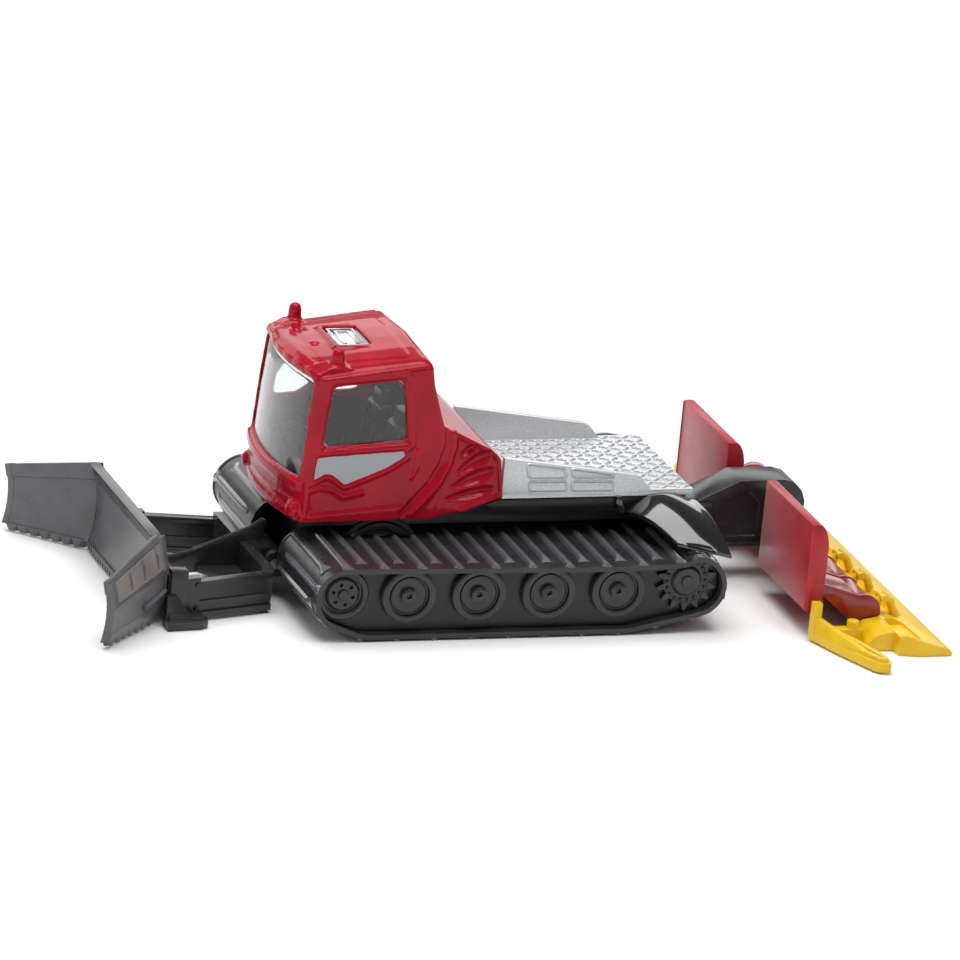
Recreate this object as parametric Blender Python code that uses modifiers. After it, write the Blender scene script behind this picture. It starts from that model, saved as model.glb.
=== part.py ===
"""Toy snowcat groomer, about 1:87: cast cab and load bed on a black chassis, one moulded loop of
track on each side, a winged dozer blade in front and a tiller with a finishing comb behind.

Frame: origin on the floor under the middle of the bounding box, +X to the front, +Y to the left,
+Z up. Lengths are in metres, written as millimetres times MM.
The blade arm turns about the blade pin and the tiller about the tiller pin.
"""

import math

import bmesh
import bpy
from mathutils import Matrix, Vector

MM = 0.001

HALF_LENGTH = 55.7 * MM    # from the middle to the wings' tips and to the comb's tail

# Clearances
GAP = 0.10 * MM            # between mouldings that touch
PIN_CLEARANCE = 0.15 * MM  # round a pivot pin, on the radius
CHEEK_CLEARANCE = 0.30 * MM  # beside a pivot barrel
SEAM = 0.06 * MM           # step where one joined shape stands behind another's face

# Tracks: a belt round an idler, a flat run and a sprocket
TRACK_INNER = 5.5 * MM
TRACK_OUTER = 22.0 * MM
BELT = 0.5 * MM
BAR_HEIGHT = 0.45 * MM
BAR_COUNT = 48
BAR_FOOT = 1.3 * MM
BAR_CREST = 0.8 * MM
TRACK_SAG = 0.85 * MM
SAG_SHAPE = 0.42           # below 1, the belt hangs lowest near the sprocket
# Centre x, centre z and radius at the bars' crests
IDLER_ARC = (23.2 * MM, 5.75 * MM, 4.45 * MM)
FRONT_RAMP_ARC = (19.5 * MM, 6.45 * MM, 6.45 * MM)
REAR_RAMP_ARC = (-14.5 * MM, 8.45 * MM, 8.45 * MM)
SPROCKET_ARC = (-24.0 * MM, 6.3 * MM, 4.35 * MM)

# Wheels moulded in relief on the web inside each track
WEB_RECESS = 1.5 * MM
WHEEL_COUNT = 4
WHEEL_PITCH = 9.4 * MM
FIRST_WHEEL_X = 14.65 * MM
WHEEL_Z = 5.85 * MM
WHEEL_RADIUS = 3.6 * MM
WHEEL_FACE = 0.5 * MM      # how far a wheel's face lies inside the belt's edge
BELT_INSET = BAR_HEIGHT + BELT
IDLER_CENTRE = (IDLER_ARC[0] + 0.3 * MM, IDLER_ARC[1] + 0.5 * MM)
IDLER_RADIUS = 3.4 * MM
SPROCKET_CENTRE = (SPROCKET_ARC[0] + 1.2 * MM, SPROCKET_ARC[1] + 0.6 * MM)
SPROCKET_RADIUS = 3.1 * MM

# Chassis
CHASSIS_HALF = TRACK_INNER - CHEEK_CLEARANCE
CHASSIS_BOTTOM = 2.6 * MM
CHASSIS_FRONT = 23.6 * MM
CHASSIS_REAR = -26.0 * MM
EAR = 1.1 * MM             # thickness of a pivot ear
DECK_BOTTOM = SPROCKET_ARC[1] + SPROCKET_ARC[2] + CHEEK_CLEARANCE
DECK_TOP = 12.15 * MM
DECK_HALF = 9.9 * MM
DECK_FRONT = 25.6 * MM
REAR_DECK_TOP = 14.55 * MM
ARCH_RADIUS = 3.6 * MM
ARCH_X = 13.6 * MM
ARCH_Z = 8.9 * MM
SKIRT_OUTER = 11.3 * MM

# Cab casting
CAB_HALF = 10.85 * MM
CAB_WALL = 0.9 * MM
CAB_BOTTOM = 12.3 * MM
NOSE_BULGE = 2.0 * MM
ROOF_REAR = (10.9 * MM, 33.4 * MM)
ROOF_FRONT = (25.4 * MM, 31.9 * MM)
SCREEN_FOOT = (27.3 * MM, 17.4 * MM)
NOSE_FOOT = (26.9 * MM, 12.3 * MM)
PILLAR_FOOT = (8.0 * MM, 24.6 * MM)
FAIRING_TOP = (0.9 * MM, 20.6 * MM)
FAIRING_FOOT = (-0.5 * MM, 14.9 * MM)
FAIRING_LIP = (5.3 * MM, 13.1 * MM)
ROOF_CORNER = 1.4 * MM
SKYLIGHT = ((18.2 * MM, -3.6 * MM), (22.6 * MM, 3.6 * MM))
BEACON_X = 23.3 * MM
BEACON_Y = 9.0 * MM
BEACON_RADIUS = 0.72 * MM
BEACON_HEIGHT = 3.2 * MM
GLASS = 0.5 * MM

# Cab interior
FLOOR_TOP = 14.0 * MM
SEAT_Y = 4.2 * MM
SEAT_HALF = 2.7 * MM

# Load bed casting
BED_HALF = 10.5 * MM
BED_FRONT = -1.0 * MM
BED_REAR = -26.6 * MM
BED_BOTTOM = 14.75 * MM
BED_PLATE_TOP = 15.5 * MM
BED_FRONT_TOP = 20.2 * MM
BED_MID_TOP = 17.4 * MM
BED_MID_X = -19.3 * MM
BED_SLOPE_END = -20.8 * MM
BED_CHEEK = 1.1 * MM

# Rear mudguards
GUARD = 0.6 * MM
GUARD_FRONT = -15.8 * MM
GUARD_TIP = -28.4 * MM
GUARD_OUTER = 21.4 * MM

# Blade and its carrier
BLADE_PIN = (27.2 * MM, 4.6 * MM)
PIN_RADIUS = 0.75 * MM
BARREL_RADIUS = 1.7 * MM
CARRIER_REAR = 29.3 * MM
CARRIER_BAR = 1.5 * MM
BEAM = 1.3 * MM
BEAM_REAR_Y = 9.3 * MM
BEAM_FRONT_Y = 12.6 * MM
BEAM_BOTTOM = 0.5 * MM
BEAM_TOP = 5.4 * MM
BLADE_X = 45.6 * MM        # back of the centre section at half height
BLADE_THICK = 1.3 * MM
BLADE_HALF = 13.5 * MM
BLADE_HEIGHT = 12.2 * MM
BLADE_CURL = 1.2 * MM      # how far the top edge leans forward
WING_SPAN = 8.7 * MM
WING_TIP_SIZE = 0.74       # the tip's section over the centre's
WING_SWEEP = HALF_LENGTH - BLADE_X - BLADE_CURL * WING_TIP_SIZE
BLADE_BOTTOM = 0.4 * MM

# Tiller
TILLER_PIN = (-29.0 * MM, 8.6 * MM)
ARM_HALF = 3.0 * MM
ARM_TAIL = -45.4 * MM
ARM_TOP = 13.6 * MM
ARM_BOTTOM = 4.6 * MM
HOOD_FRONT = -38.0 * MM
HOOD_DEPTH = 2.5 * MM
HOOD_TOP = 15.3 * MM
HOOD_BOTTOM = 3.5 * MM
HOOD_INNER = 7.1 * MM
HOOD_OUTER = 24.5 * MM
DRUM_CENTRE = (-46.4 * MM, 3.1 * MM)
DRUM_RADIUS = 2.0 * MM
DRUM_HALF = 24.0 * MM
DRUM_PLATE_TOP = 3.6 * MM  # front edge of the plate over the drum, above the drum's centre
COMB_HALF = 32.5 * MM
COMB_TAIL = -HALF_LENGTH
FINISHER_REACH = 38.6 * MM

ROUND_STEPS = 20


def empty_scene():
    for obj in list(bpy.data.objects):
        bpy.data.objects.remove(obj, do_unlink=True)


def new_collection(name):
    made = bpy.data.collections.new(name)
    bpy.context.scene.collection.children.link(made)
    return made


empty_scene()
PARTS = new_collection("snowcat_groomer")
CUTTERS = new_collection("cutters")


def finish(name, colour, roughness, metallic=0.0):
    """A Principled material of one linear colour."""
    material = bpy.data.materials.new(name)
    material.use_nodes = True
    shader = material.node_tree.nodes["Principled BSDF"]
    shader.inputs["Base Color"].default_value = (*colour, 1.0)
    shader.inputs["Roughness"].default_value = roughness
    shader.inputs["Metallic"].default_value = metallic
    return material


RED = finish("red_enamel", (0.45, 0.006, 0.012), 0.2)
SILVER = finish("silver_paint", (0.48, 0.51, 0.53), 0.35, 0.6)
BLACK = finish("black_plastic", (0.018, 0.018, 0.02), 0.45)
GREY = finish("grey_plastic", (0.07, 0.07, 0.08), 0.4)
YELLOW = finish("yellow_plastic", (0.85, 0.58, 0.01), 0.4)
CLEAR = finish("clear_plastic", (0.8, 0.85, 0.85), 0.05)


def place(obj, cutter):
    """Links an object among the parts, or among the cutters, which stay out of the model."""
    (CUTTERS if cutter else PARTS).objects.link(obj)
    if cutter:
        obj.hide_render = True
        obj.display_type = "WIRE"
    return obj


def mesh_object(name, shape, material=None, cutter=False):
    """An object of the finished bmesh."""
    bmesh.ops.recalc_face_normals(shape, faces=shape.faces)
    if shape.calc_volume(signed=True) < 0:
        bmesh.ops.reverse_faces(shape, faces=shape.faces)
    mesh = bpy.data.meshes.new(name)
    shape.to_mesh(mesh)
    shape.free()
    if material:
        mesh.materials.append(material)
    return place(bpy.data.objects.new(name, mesh), cutter)


# Matrices that lay a flat outline in a plane of the model
PLANES = {
    "XZ": Matrix(((1, 0, 0, 0), (0, 0, -1, 0), (0, 1, 0, 0), (0, 0, 0, 1))),
    "XY": Matrix.Identity(4),
    "YZ": Matrix(((0, 0, 1, 0), (1, 0, 0, 0), (0, 1, 0, 0), (0, 0, 0, 1))),
}
THROUGH = {"XZ": Vector((0, 1, 0)), "XY": Vector((0, 0, 1)), "YZ": Vector((1, 0, 0))}


def slab(name, outlines, plane, low, high, material=None, cutter=False):
    """A flat outline, or one with holes in it, given a thickness from low to high across its plane."""
    curve = bpy.data.curves.new(name, "CURVE")
    curve.dimensions = "2D"
    curve.fill_mode = "BOTH"
    curve.extrude = (high - low) / 2
    for outline in outlines:
        spline = curve.splines.new("POLY")
        spline.points.add(len(outline) - 1)
        for point, (across, up) in zip(spline.points, outline):
            point.co = (across, up, 0, 1)
        spline.use_cyclic_u = True
    flat = bpy.data.objects.new(name, curve)
    flat.matrix_world = Matrix.Translation(THROUGH[plane] * (low + high) / 2) @ PLANES[plane]
    bpy.context.scene.collection.objects.link(flat)
    graph = bpy.context.evaluated_depsgraph_get()
    graph.update()
    mesh = bpy.data.meshes.new_from_object(flat.evaluated_get(graph))
    matrix = flat.matrix_world.copy()
    bpy.data.objects.remove(flat, do_unlink=True)
    shape = bmesh.new()
    shape.from_mesh(mesh)
    bpy.data.meshes.remove(mesh)
    bmesh.ops.remove_doubles(shape, verts=shape.verts, dist=1e-7)
    shape.transform(matrix)
    return mesh_object(name, shape, material, cutter)


def box(name, low, high, material=None, cutter=False):
    """A box between two corners."""
    low = Vector(low)
    high = Vector(high)
    shape = bmesh.new()
    bmesh.ops.create_cube(shape, size=1)
    size = high - low
    shape.transform(Matrix.Translation((low + high) / 2) @ Matrix.Diagonal((*size, 1)))
    return mesh_object(name, shape, material, cutter)


def rod(name, centre, axis, radius, length, material=None, cutter=False, steps=ROUND_STEPS):
    """A cylinder of this length, centred on a point."""
    shape = bmesh.new()
    bmesh.ops.create_cone(shape, cap_ends=True, segments=steps, radius1=radius, radius2=radius, depth=length)
    turn = Vector(axis).to_track_quat("Z", "Y").to_matrix().to_4x4()
    shape.transform(Matrix.Translation(centre) @ turn)
    made = mesh_object(name, shape, material, cutter)
    smooth(made)
    return made


def turned(name, profile, centre, axis, material, steps=ROUND_STEPS):
    """A profile of (radius, height) points, listed down its outer side, turned about an axis."""
    mesh = bpy.data.meshes.new(name)
    points = [(radius, 0, height) for radius, height in profile]
    mesh.from_pydata(points, [(i, i + 1) for i in range(len(points) - 1)], [])
    mesh.materials.append(material)
    made = place(bpy.data.objects.new(name, mesh), False)
    turn = Vector(axis).to_track_quat("Z", "Y").to_matrix().to_4x4()
    made.matrix_world = Matrix.Translation(centre) @ turn
    screw = made.modifiers.new("turn", "SCREW")
    screw.steps = steps
    screw.render_steps = steps
    screw.use_merge_vertices = True
    screw.merge_threshold = 1e-6
    return made


def smooth(obj, angle=35):
    obj.data.shade_smooth()
    obj.data.set_sharp_from_angle(angle=math.radians(angle))


def boolean(obj, other, operation):
    """Cuts, joins or intersects obj with another object, which is kept as a hidden cutter."""
    if other.name in PARTS.objects:
        PARTS.objects.unlink(other)
        place(other, True)
    step = obj.modifiers.new(other.name, "BOOLEAN")
    step.operation = operation
    step.solver = "EXACT"
    step.object = other


def cut(obj, *others):
    for other in others:
        boolean(obj, other, "DIFFERENCE")


def join(obj, *others):
    for other in others:
        boolean(obj, other, "UNION")


def arc(centre, radius, start, end, steps):
    """Points along an arc from one angle to another, in degrees."""
    turns = [math.radians(start + (end - start) * i / steps) for i in range(steps + 1)]
    return [(centre[0] + radius * math.cos(a), centre[1] + radius * math.sin(a)) for a in turns]


def mirrored(points):
    """An outline of (x, y) points with y above 0, followed by its mirror image below."""
    return points + [(x, -y) for x, y in reversed(points)]


def side_name(side):
    return "left" if side > 0 else "right"


# ---------------------------------------------------------------- tracks

def tangent_angle(first, second):
    """The direction, in degrees, that a belt passing clockwise from one arc to the next faces."""
    across, up = first[0] - second[0], first[1] - second[1]
    lean = math.acos((second[2] - first[2]) / math.hypot(across, up))
    return math.degrees(math.atan2(up, across) - lean)


def belt_path(inset, steps=8):
    """The loop round the four arcs, this far inside the bars' crests, with the top run sagging."""
    arcs = (IDLER_ARC, FRONT_RAMP_ARC, REAR_RAMP_ARC, SPROCKET_ARC)
    path = []
    for before, this, after in zip(arcs[-1:] + arcs[:-1], arcs, arcs[1:] + arcs[:1]):
        start = tangent_angle(before, this)
        end = tangent_angle(this, after)
        end -= 360 * math.ceil((end - start) / 360)
        x, z, radius = this
        path += arc((x, z), radius - inset, start, end, steps)
    rear, front = path[-1], path[0]
    for i in range(1, steps):
        share = i / steps
        dip = TRACK_SAG * math.sin(math.pi * share**SAG_SHAPE)
        path.append(
            (rear[0] + (front[0] - rear[0]) * share, rear[1] + (front[1] - rear[1]) * share - dip)
        )
    return path


def along(path, spot):
    """The point at a share of the way round a closed path, and the direction out of it."""
    ends = list(zip(path, path[1:] + path[:1]))
    lengths = [math.dist(a, b) for a, b in ends]
    left = (spot % 1.0) * sum(lengths)
    for (a, b), length in zip(ends, lengths):
        if left <= length:
            share = left / length
            point = (a[0] + (b[0] - a[0]) * share, a[1] + (b[1] - a[1]) * share)
            return point, (-(b[1] - a[1]) / length, (b[0] - a[0]) / length)
        left -= length
    return path[0], (0, 1)


def track_outline():
    """The outside of the belt with a bar at every pitch."""
    path = belt_path(BAR_HEIGHT)
    total = sum(math.dist(a, b) for a, b in zip(path, path[1:] + path[:1]))
    outline = []
    for bar in range(BAR_COUNT):
        middle = bar / BAR_COUNT
        for offset, height in (
            (-BAR_FOOT / 2, 0),
            (-BAR_CREST / 2, BAR_HEIGHT),
            (BAR_CREST / 2, BAR_HEIGHT),
            (BAR_FOOT / 2, 0),
        ):
            point, out = along(path, middle + offset / total)
            outline.append((point[0] + out[0] * height, point[1] + out[1] * height))
    return outline


def make_track(side):
    low, high = sorted((side * TRACK_INNER, side * TRACK_OUTER))
    name = "track_" + side_name(side)
    slab(name, [track_outline(), belt_path(BELT_INSET)], "XZ", low, high, BLACK)


def wheel_spots():
    """The name, centre and radius of each wheel on one side, front to rear."""
    spots = [("idler", IDLER_CENTRE, IDLER_RADIUS)]
    for i in range(WHEEL_COUNT):
        spots.append((f"road_wheel_{i + 1}", (FIRST_WHEEL_X - i * WHEEL_PITCH, WHEEL_Z), WHEEL_RADIUS))
    spots.append(("sprocket", SPROCKET_CENTRE, SPROCKET_RADIUS))
    return spots


def make_wheel(name, centre, radius, side):
    """A dished disc with a raised tyre and hub, its back against the web."""
    face = TRACK_OUTER - WHEEL_FACE
    back = TRACK_OUTER - WEB_RECESS + GAP
    depth = face - back
    profile = (
        (0, depth),
        (radius * 0.22, depth),
        (radius * 0.27, depth * 0.55),
        (radius * 0.68, depth * 0.7),
        (radius * 0.76, depth),
        (radius * 0.94, depth),
        (radius, depth * 0.75),
        (radius, 0),
        (0, 0),
    )
    made = turned(name, profile, (centre[0], side * back, centre[1]), (0, side, 0), BLACK)
    smooth(made)
    low, high = sorted((side * (back - MM), side * (face + MM)))
    boolean(made, slab(name + "_trim", [belt_path(BELT_INSET + GAP)], "XZ", low, high, cutter=True), "INTERSECT")


def make_web(side):
    """The wall inside the belt that carries the wheels."""
    inner = TRACK_INNER
    outer = TRACK_OUTER - WEB_RECESS
    low, high = sorted((side * inner, side * outer))
    name = "track_frame_" + side_name(side)
    slab(name, [belt_path(BELT_INSET + GAP)], "XZ", low, high, BLACK)


# ---------------------------------------------------------------- chassis

def make_chassis():
    """The spine between the tracks, with ears for the two pivot pins."""
    outline = (
        (CHASSIS_FRONT, CHASSIS_BOTTOM + 1.5 * MM),
        (CHASSIS_FRONT, DECK_BOTTOM - GAP),
        (CHASSIS_REAR, DECK_BOTTOM - GAP),
        (CHASSIS_REAR, CHASSIS_BOTTOM + 2.5 * MM),
        (CHASSIS_REAR + 4 * MM, CHASSIS_BOTTOM),
        (CHASSIS_FRONT - 3 * MM, CHASSIS_BOTTOM),
    )
    frame = slab("chassis_frame", [outline], "XZ", -CHASSIS_HALF, CHASSIS_HALF, BLACK)
    for tag, (x, z), root in (("front", BLADE_PIN, CHASSIS_FRONT), ("rear", TILLER_PIN, CHASSIS_REAR)):
        away = 1 if x > root else -1
        inward = root - away * MM
        tip = [(x + away * dx, z + dz) for dx, dz in arc((0, 0), BARREL_RADIUS, 90, -90, 6)]
        ear = [(inward, z + BARREL_RADIUS)] + tip + [(inward, z - BARREL_RADIUS)]
        for side in (1, -1):
            outer = CHASSIS_HALF - SEAM
            low, high = sorted((side * outer, side * (outer - EAR)))
            join(frame, slab(f"ear_{tag}_{side_name(side)}", [ear], "XZ", low, high, cutter=True))
        hole = rod(f"bore_{tag}", (x, 0, z), (0, 1, 0), PIN_RADIUS + GAP, 2 * CHASSIS_HALF + 2 * MM, cutter=True)
        cut(frame, hole)


def make_pin(name, spot):
    length = 2 * CHASSIS_HALF - 0.2 * MM
    rod(name, (spot[0], 0, spot[1]), (0, 1, 0), PIN_RADIUS, length, BLACK)


def make_deck():
    """The black plate over the tracks, with a wheel-arch boss on each side, stepped up under the bed."""
    step = FAIRING_FOOT[0] + 0.6 * MM
    low_top = DECK_TOP
    outline = (
        (DECK_FRONT, DECK_BOTTOM),
        (DECK_FRONT, low_top),
        (step + 7.5 * MM, low_top),
        (step, REAR_DECK_TOP - 1.6 * MM),
        (step - 1 * MM, REAR_DECK_TOP),
        (BED_REAR + 0.6 * MM, REAR_DECK_TOP),
        (BED_REAR + 0.6 * MM, DECK_BOTTOM),
    )
    deck = slab("chassis_deck", [outline], "XZ", -DECK_HALF, DECK_HALF, BLACK)
    skirt = [(x, z) for x, z in arc((ARCH_X, ARCH_Z), ARCH_RADIUS, 160, 20, 14) if z >= DECK_BOTTOM]
    skirt = [(skirt[0][0] - 0.2 * MM, DECK_BOTTOM)] + skirt + [(skirt[-1][0] + 0.2 * MM, DECK_BOTTOM)]
    skirt = [(x, min(z, DECK_TOP - 0.2 * MM)) for x, z in skirt]
    join(deck, slab("arch_bosses", [skirt], "XZ", -SKIRT_OUTER, SKIRT_OUTER, cutter=True))


# ---------------------------------------------------------------- cab

def cab_side(inset):
    """The cab's outline seen from the side, this far inside the casting's skin."""
    front = inset
    return [
        (NOSE_FOOT[0] - front, CAB_BOTTOM - (inset and MM)),
        (SCREEN_FOOT[0] - front, SCREEN_FOOT[1]),
        (ROOF_FRONT[0] - front, ROOF_FRONT[1] - inset),
        (ROOF_REAR[0] + inset, ROOF_REAR[1] - inset),
        (PILLAR_FOOT[0] + inset, PILLAR_FOOT[1] - inset / 2),
        (FAIRING_TOP[0] + inset, FAIRING_TOP[1] - inset),
        (FAIRING_FOOT[0] + inset, FAIRING_FOOT[1] - (inset and 3 * MM)),
    ] + ([] if inset else [FAIRING_LIP, (FAIRING_LIP[0] + 4.5 * MM, CAB_BOTTOM)])


def cab_body(name, inset, half, cutter=True, material=None):
    """The side outline, given the cab's width, a bowed front and rounded roof corners."""
    body = slab(name, [cab_side(inset)], "XZ", -half - MM, half + MM, material, cutter)
    front = SCREEN_FOOT[0] - inset
    bow = []
    for i in range(9):
        share = i / 8
        y = half * (1 - share)
        bow.append((front + NOSE_BULGE * (1 - (y / half) ** 2) - NOSE_BULGE, y))
    plan = mirrored([(FAIRING_FOOT[0] - MM, half + MM), (front - NOSE_BULGE - MM, half + MM), *bow[:-1]])
    plan.insert(len(plan) // 2, bow[-1])
    boolean(body, slab(name + "_plan", [plan], "XY", 0, 40 * MM, cutter=True), "INTERSECT")
    top = ROOF_REAR[1] - inset + 0.2 * MM
    corner = ROOF_CORNER
    right = arc((half - corner, top - corner), corner, 0, 90, 5)
    left = [(-y, z) for y, z in reversed(right)]
    round_roof = right + left + [(-half, 0), (half, 0)]
    boolean(body, slab(name + "_front", [round_roof], "YZ", -10 * MM, 40 * MM, cutter=True), "INTERSECT")
    return body


def window_cutters():
    """Cutters for the door windows, the windscreen, the rear window and the skylight."""
    door = [(23.7 * MM, 30.1 * MM), (13.7 * MM, 31.0 * MM), (13.0 * MM, 22.8 * MM), (24.6 * MM, 22.0 * MM)]
    screen_half = CAB_HALF - 1.5 * MM
    screen = [
        (screen_half, SCREEN_FOOT[1] + 0.7 * MM),
        (screen_half - 0.3 * MM, ROOF_FRONT[1] - 1.6 * MM),
        (-screen_half + 0.3 * MM, ROOF_FRONT[1] - 1.6 * MM),
        (-screen_half, SCREEN_FOOT[1] + 0.7 * MM),
    ]
    rear_half = CAB_HALF - 2.6 * MM
    rear = [
        (rear_half, PILLAR_FOOT[1] + MM),
        (rear_half, ROOF_REAR[1] - 2.4 * MM),
        (-rear_half, ROOF_REAR[1] - 2.4 * MM),
        (-rear_half, PILLAR_FOOT[1] + MM),
    ]
    (x0, y0), (x1, y1) = SKYLIGHT
    reach = CAB_HALF + MM
    return (
        slab("door_windows", [door], "XZ", -reach, reach, cutter=True),
        slab("windscreen_hole", [screen], "YZ", 20.5 * MM, 32 * MM, cutter=True),
        slab("rear_window_hole", [rear], "YZ", 5 * MM, 12.8 * MM, cutter=True),
        box("skylight_hole", (x0, y0, ROOF_FRONT[1] - 2 * MM), (x1, y1, ROOF_REAR[1] + MM), cutter=True),
    )


def make_cab():
    """The red casting: walls, roof and rear fairing, hollow and open below, with its beacons."""
    shell = cab_body("cab_shell", 0, CAB_HALF, cutter=False, material=RED)
    cut(shell, cab_body("cab_cavity", CAB_WALL, CAB_HALF - CAB_WALL))
    cut(shell, *window_cutters())
    for side in (1, -1):
        beacon = rod(
            "beacon_" + side_name(side),
            (BEACON_X, side * BEACON_Y, ROOF_FRONT[1] + BEACON_HEIGHT / 2 - 0.1 * MM),
            (0, 0, 1),
            BEACON_RADIUS,
            BEACON_HEIGHT,
            cutter=True,
            steps=12,
        )
        join(shell, beacon)


def make_glazing():
    """One clear moulding inside the casting, open below and behind."""
    inset = CAB_WALL + GAP
    glass = cab_body("cab_glazing", inset, CAB_HALF - inset, cutter=False, material=CLEAR)
    inner = inset + GLASS
    cut(glass, cab_body("glazing_cavity", inner, CAB_HALF - inner))
    low = box("glazing_trim", (-5 * MM, -15 * MM, 0), (35 * MM, 15 * MM, SCREEN_FOOT[1] - MM), cutter=True)
    back = box("glazing_back", (-5 * MM, -15 * MM, 0), (8.8 * MM, 15 * MM, PILLAR_FOOT[1] - 0.6 * MM), cutter=True)
    cut(glass, low, back)


def make_interior():
    """Floor, two seats, dashboard and steering wheel."""
    inside = CAB_HALF - CAB_WALL - GLASS - 3 * GAP
    floor_bottom = DECK_TOP + 0.3 * MM
    box("cab_floor", (7.2 * MM, -inside, floor_bottom), (23.2 * MM, inside, FLOOR_TOP), BLACK)
    seat_z = FLOOR_TOP + GAP
    seat = [
        (12.2 * MM, seat_z),
        (17.6 * MM, seat_z),
        (18.0 * MM, seat_z + 2.4 * MM),
        (13.9 * MM, seat_z + 2.1 * MM),
        (12.4 * MM, seat_z + 9.0 * MM),
        (10.9 * MM, seat_z + 9.0 * MM),
    ]
    for side in (1, -1):
        low, high = sorted((side * (SEAT_Y - SEAT_HALF), side * (SEAT_Y + SEAT_HALF)))
        made = slab("seat_" + side_name(side), [seat], "XZ", low, high, BLACK)
        edge = made.modifiers.new("edge", "BEVEL")
        edge.width = 0.25 * MM
        edge.segments = 1
    dash = [
        (20.6 * MM, seat_z),
        (22.9 * MM, seat_z),
        (24.0 * MM, seat_z + 3.6 * MM),
        (21.6 * MM, seat_z + 5.2 * MM),
        (20.8 * MM, seat_z + 4.4 * MM),
    ]
    slab("dashboard", [dash], "XZ", -inside + 0.4 * MM, inside - 0.4 * MM, BLACK)
    wheel_at = Vector((19.6 * MM, SEAT_Y, seat_z + 5.2 * MM))
    tilt = Vector((-0.55, 0, 0.83))
    shape = bmesh.new()
    bmesh.ops.create_cone(shape, cap_ends=True, segments=16, radius1=1.5 * MM, radius2=1.5 * MM, depth=0.5 * MM)
    turn = tilt.to_track_quat("Z", "Y").to_matrix().to_4x4()
    shape.transform(Matrix.Translation(wheel_at) @ turn)
    wheel = mesh_object("steering_wheel", shape, BLACK)
    column_end = Vector((20.75 * MM, SEAT_Y, seat_z + 3.4 * MM))
    middle = (wheel_at + column_end) / 2
    reach = wheel_at - column_end
    column = rod("column", middle, reach, 0.4 * MM, reach.length, cutter=True, steps=10)
    join(wheel, column)
    cut(bpy.data.objects["dashboard"], rod("column_seat", middle, reach, 0.5 * MM, reach.length + 0.4 * MM, cutter=True, steps=10))


# ---------------------------------------------------------------- bed and mudguards

def make_bed():
    """The silver tray: a plate between two cheeks that slope down to the rear."""
    outline = [
        (BED_REAR, BED_BOTTOM),
        (BED_FRONT, BED_BOTTOM),
        (BED_FRONT, BED_FRONT_TOP),
        (BED_MID_X, BED_MID_TOP),
        (BED_SLOPE_END, BED_PLATE_TOP + SEAM),
        (BED_REAR, BED_PLATE_TOP + SEAM),
    ]
    bed = slab("load_bed", [outline], "XZ", -BED_HALF, BED_HALF, SILVER)
    inside = BED_HALF - BED_CHEEK
    low = (BED_REAR - MM, -inside, BED_PLATE_TOP)
    cut(bed, box("tray", low, (BED_FRONT + MM, inside, BED_FRONT_TOP + MM), cutter=True))


def make_mudguard(side):
    """A curved sheet from the bed's edge out over the rear of the track, to a pointed tip."""
    across, along_steps = 8, 8
    inner_y = BED_HALF + 0.35 * MM
    shape = bmesh.new()
    rows = []
    for i in range(across + 1):
        s = i / across
        row = []
        for j in range(along_steps + 1):
            t = j / along_steps
            front = GUARD_FRONT - 5.2 * MM * s
            rear = BED_REAR + (GUARD_TIP - BED_REAR) * s
            x = front + (rear - front) * t
            z = 14.3 * MM - 1.6 * MM * s - 2.4 * MM * s * t ** 2 + 1.1 * MM * math.sin(math.pi * s) * (1 - 0.3 * t)
            y = inner_y + (GUARD_OUTER - inner_y) * s
            row.append(shape.verts.new((x, side * y, z)))
        rows.append(row)
    for a, b in zip(rows, rows[1:]):
        for j in range(along_steps):
            shape.faces.new((a[j], a[j + 1], b[j + 1], b[j]))
    made = mesh_object("mudguard_" + side_name(side), shape, BLACK)
    skin = made.modifiers.new("skin", "SOLIDIFY")
    skin.thickness = GUARD
    skin.offset = 0
    smooth(made)


# ---------------------------------------------------------------- blade

def blade_profile():
    """(forward, height share) points round the blade's section, from the front toe up and back down."""
    front = [(1.1, 0.0), (0.45, 0.21), (0.15, 0.4), (0.1, 0.56), (0.4, 0.78)]
    front = [(ahead * MM, share) for ahead, share in front] + [(BLADE_CURL, 1.0)]
    back = [(ahead - BLADE_THICK, share) for ahead, share in reversed(front)]
    return front + back


def blade_section(y):
    """The section at a distance from the middle: the wings sweep forward and grow smaller."""
    out = max(0.0, (abs(y) - BLADE_HALF) / WING_SPAN)
    size = 1 + (WING_TIP_SIZE - 1) * out
    points = []
    for ahead, share in blade_profile():
        x = BLADE_X + WING_SWEEP * out + ahead * size
        points.append((x, y, BLADE_BOTTOM + (BLADE_HEIGHT - BLADE_BOTTOM) * share * size))
    return points


def loft(name, sections, material, cutter=False):
    """A solid through sections that list one side and then the other side backwards, closed at both ends."""
    shape = bmesh.new()
    rings = [[shape.verts.new(point) for point in section] for section in sections]
    count = len(rings[0])
    for a, b in zip(rings, rings[1:]):
        for i in range(count):
            shape.faces.new((a[i], a[(i + 1) % count], b[(i + 1) % count], b[i]))
    for ring in (rings[0], rings[-1]):
        for i in range(count // 2 - 1):
            shape.faces.new((ring[i], ring[i + 1], ring[count - 2 - i], ring[count - 1 - i]))
    return mesh_object(name, shape, material, cutter)


def make_blade():
    seam = GAP / 2
    outline = [(x, z) for x, _, z in blade_section(0)]
    slab("blade_centre", [outline], "XZ", -BLADE_HALF + seam, BLADE_HALF - seam, GREY)
    for side in (1, -1):
        tip = side * (BLADE_HALF + WING_SPAN)
        root = side * (BLADE_HALF + seam)
        loft("blade_wing_" + side_name(side), [blade_section(root), blade_section(tip)], GREY)


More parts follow.
